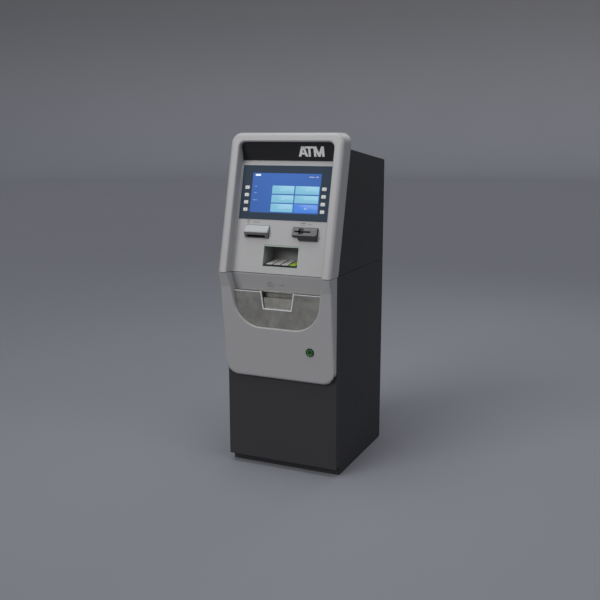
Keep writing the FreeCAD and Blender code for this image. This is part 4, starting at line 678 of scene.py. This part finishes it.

# ---------------------------------------------------------------- lip of the cash outlet and plate edge, painted bright as highlights, with a painted shadow line above the edge
plate_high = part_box("outlet_plate")[1]
PLATE_FACE = ground("outlet_plate", (-0.13, -1, 0.72), FORWARD)
PLATE_FACE.translation.x = 0
LIP_WIDTH = 0.0040
LIP_RISE = 0.0016
OUTLET_FOOT_HALF = 0.0616
OUTLET_TOP_HALF = 0.0726
OUTLET_HEIGHT = 0.0716
# painted highlight: the raised outlet lip and the plate's top edge bar get a pale flat colour so they read as lit
# bevels
PAINTED_HIGHLIGHT = painted("lip_painted_highlight", (0.82, 0.85, 0.9), 0.4, 0.6, 0.004, edge=0.2, worn=1.0, drift=0.04)
lip_foot = plate_high.z - OUTLET_HEIGHT - PLATE_FACE.translation.z
lean = math.atan2(OUTLET_TOP_HALF - OUTLET_FOOT_HALF, OUTLET_HEIGHT)
rails = [plate("outlet_lip_foot", (0, lip_foot - LIP_WIDTH / 2),
               (2 * (OUTLET_FOOT_HALF + LIP_WIDTH), LIP_WIDTH), LIP_RISE, out=-SUNK)]
for side in (-1, 1):
    rail = plate("outlet_lip_side", (0, 0), (LIP_WIDTH, OUTLET_HEIGHT / math.cos(lean)), LIP_RISE, out=-SUNK)
    across = side * ((OUTLET_TOP_HALF + OUTLET_FOOT_HALF) / 2 + LIP_WIDTH / 2)
    rails.append(settle(rail, Matrix.Translation((across, lip_foot + OUTLET_HEIGHT / 2, 0))
                        @ Matrix.Rotation(-side * lean, 4, "Z")))
fit(settle(merge("outlet_lip", rails), PLATE_FACE), PAINTED_HIGHLIGHT, "door", smooth=20)
EDGE_HALF = 0.203        # half of the plate's top edge that the apron leaves in view
edge_top = plate_high.z - PLATE_FACE.translation.z
edge_highlight, edge_shadow = [], []
for side in (-1, 1):
    middle = side * (OUTLET_TOP_HALF + LIP_WIDTH + EDGE_HALF) / 2
    length = EDGE_HALF - OUTLET_TOP_HALF - LIP_WIDTH
    # painted highlight: a pale bar just under the plate's top edge stands in for its lit fold
    edge_highlight.append(plate("edge_highlight", (middle, edge_top - 0.0038), (length, 0.003), LIP_RISE, out=-SUNK))
    # painted shadow: a near-black bar at the plate's very top stands in for the shade between apron and plate
    edge_shadow.append(plate("edge_shadow", (middle, edge_top - 0.0012), (length, 0.0022), INK, out=-SUNK))
fit(settle(merge("plate_top_highlight", edge_highlight), PLATE_FACE), PAINTED_HIGHLIGHT, "door", smooth=20)
fit(settle(merge("plate_top_shadow", edge_shadow), PLATE_FACE), PAINTED_SHADOW_BLACK, "door", smooth=20)

# ---------------------------------------------------------------- finger guard of the rear fan
fan_low, fan_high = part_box("fan_frame")
fan_middle = (fan_low + fan_high) / 2
GUARD_Y = fan_high.y + 0.0045
WIRE = 0.0009
guard = []
for ring in range(5):
    guard.append(start("torus", "guard_ring", major_radius=0.007 + ring * 0.0072, minor_radius=WIRE,
                       major_segments=64, minor_segments=8, rotation=(math.pi / 2, 0, 0),
                       location=(fan_middle.x, GUARD_Y, fan_middle.z)))
for spoke in range(4):
    turn = math.pi / 4 + spoke * math.pi / 2
    arm = start("cylinder", "guard_spoke", vertices=12, radius=WIRE, depth=0.046,
                location=(fan_middle.x + 0.03 * math.cos(turn), GUARD_Y + 2 * WIRE * 0.8,
                          fan_middle.z + 0.03 * math.sin(turn)),
                rotation=(0, math.pi / 2 - turn, 0))
    edit()
    pick(arm, "faces", lambda face: len(face.verts) > 4)
    bpy.ops.mesh.bevel(offset=WIRE * 0.5, segments=2, affect="EDGES")
    close_up(arm)
    guard.append(arm)
    eye = start("torus", "guard_eye", major_radius=0.003, minor_radius=WIRE, major_segments=24, minor_segments=8,
                rotation=(math.pi / 2, 0, 0), location=(fan_middle.x + 0.0505 * math.cos(turn), GUARD_Y,
                                                        fan_middle.z + 0.0505 * math.sin(turn)))
    guard.append(eye)
fit(settle(merge("fan_guard", guard), Matrix.Identity(4)), ZINC, "cabinet")

# ---------------------------------------------------------------- studio
FLOOR_RADIUS = 26
CURVE = 6                # radius of the sweep from floor to wall
RIM_RISE = 3             # straight wall above the sweep
floor = start("circle", "studio_floor", vertices=96, radius=FLOOR_RADIUS, fill_type="NGON")
edit()
bpy.ops.mesh.inset(thickness=0.5)
for rise in range(1, 10):
    sweep = math.radians(rise * 10)
    step_out = CURVE * (math.sin(sweep) - math.sin(sweep - math.radians(10)))
    step_up = CURVE * (math.cos(sweep - math.radians(10)) - math.cos(sweep))
    pick(floor, "edges", lambda edge: edge.is_boundary)
    reach = max(vert.co.x for vert in bmesh.from_edit_mesh(floor.data).verts)
    bpy.ops.mesh.extrude_region_move(TRANSFORM_OT_translate={"value": (0, 0, step_up)})
    bpy.ops.transform.resize(value=(1 + step_out / reach, 1 + step_out / reach, 1))
pick(floor, "edges", lambda edge: edge.is_boundary)
bpy.ops.mesh.extrude_region_move(TRANSFORM_OT_translate={"value": (0, 0, RIM_RISE)})
bpy.ops.object.mode_set(mode="OBJECT")
bpy.ops.object.shade_smooth()
# painted shade: the sweep and wall darken from the floor colour with height, so the wall that the suns light more
# stays darker
FLOOR_COLOUR = (0.302, 0.312, 0.358)
WALL_SHADE_COLOUR = (0.187, 0.186, 0.195)
floor_finish = Finish("studio_floor_paint", FLOOR_COLOUR, 0.7)
floor_tone = floor_finish.noise(0.5, 3.0) * 0.05 + 0.975
floor_with_wall_shade = floor_finish.mix(floor_finish.axes()[2].within(0, CURVE + RIM_RISE), FLOOR_COLOUR, WALL_SHADE_COLOUR)
floor_finish.set(Base_Color=floor_finish.toned(floor_with_wall_shade, floor_tone))
floor.data.materials.append(floor_finish.material)

world = bpy.data.worlds.new("studio_air")
world.use_nodes = True
world.node_tree.nodes["Background"].inputs["Color"].default_value = (0.5, 0.51, 0.53, 1)
world.node_tree.nodes["Background"].inputs["Strength"].default_value = 0.36
bpy.context.scene.world = world


def lamp(name, kind, place, target, power, size, colour=(1, 1, 1)):
    """A soft light aimed at a point: a square panel, or a far one that lights the whole floor evenly."""
    shine = bpy.data.lights.new(name, kind)
    if kind == "AREA":
        shine.size = size
    else:
        shine.angle = size
    shine.energy = power
    shine.color = colour
    light = bpy.data.objects.new(name, shine)
    light.location = place
    light.rotation_euler = (Vector(target) - Vector(place)).to_track_quat("-Z", "Y").to_euler()
    bpy.context.scene.collection.objects.link(light)


lamp("key_light", "SUN", (-1.6, -3.4, 3.0), (0, 0, 0.9), 1.15, math.radians(35), (1, 0.985, 0.96))
lamp("fill_light", "SUN", (3.6, -1.6, 2.6), (0, 0, 0.8), 0.5, math.radians(50), (0.98, 0.99, 1))
lamp("top_light", "AREA", (-0.2, -0.6, 3.4), (0, -0.1, 1.0), 30, 1.8)
lamp("rear_light", "AREA", (0.5, 3.4, 3.2), (0, 0, 1.0), 16, 2.0)

camera = bpy.data.objects.new("camera", bpy.data.cameras.new("camera"))
camera.location = (1.454, -3.287, 1.401)
camera.rotation_euler = (math.radians(90 - 11.07), 0, math.radians(24.17))
camera.data.lens = 50
camera.data.sensor_width = 36
bpy.context.scene.collection.objects.link(camera)
bpy.context.scene.camera = camera
bpy.context.scene.view_settings.view_transform = "Standard"
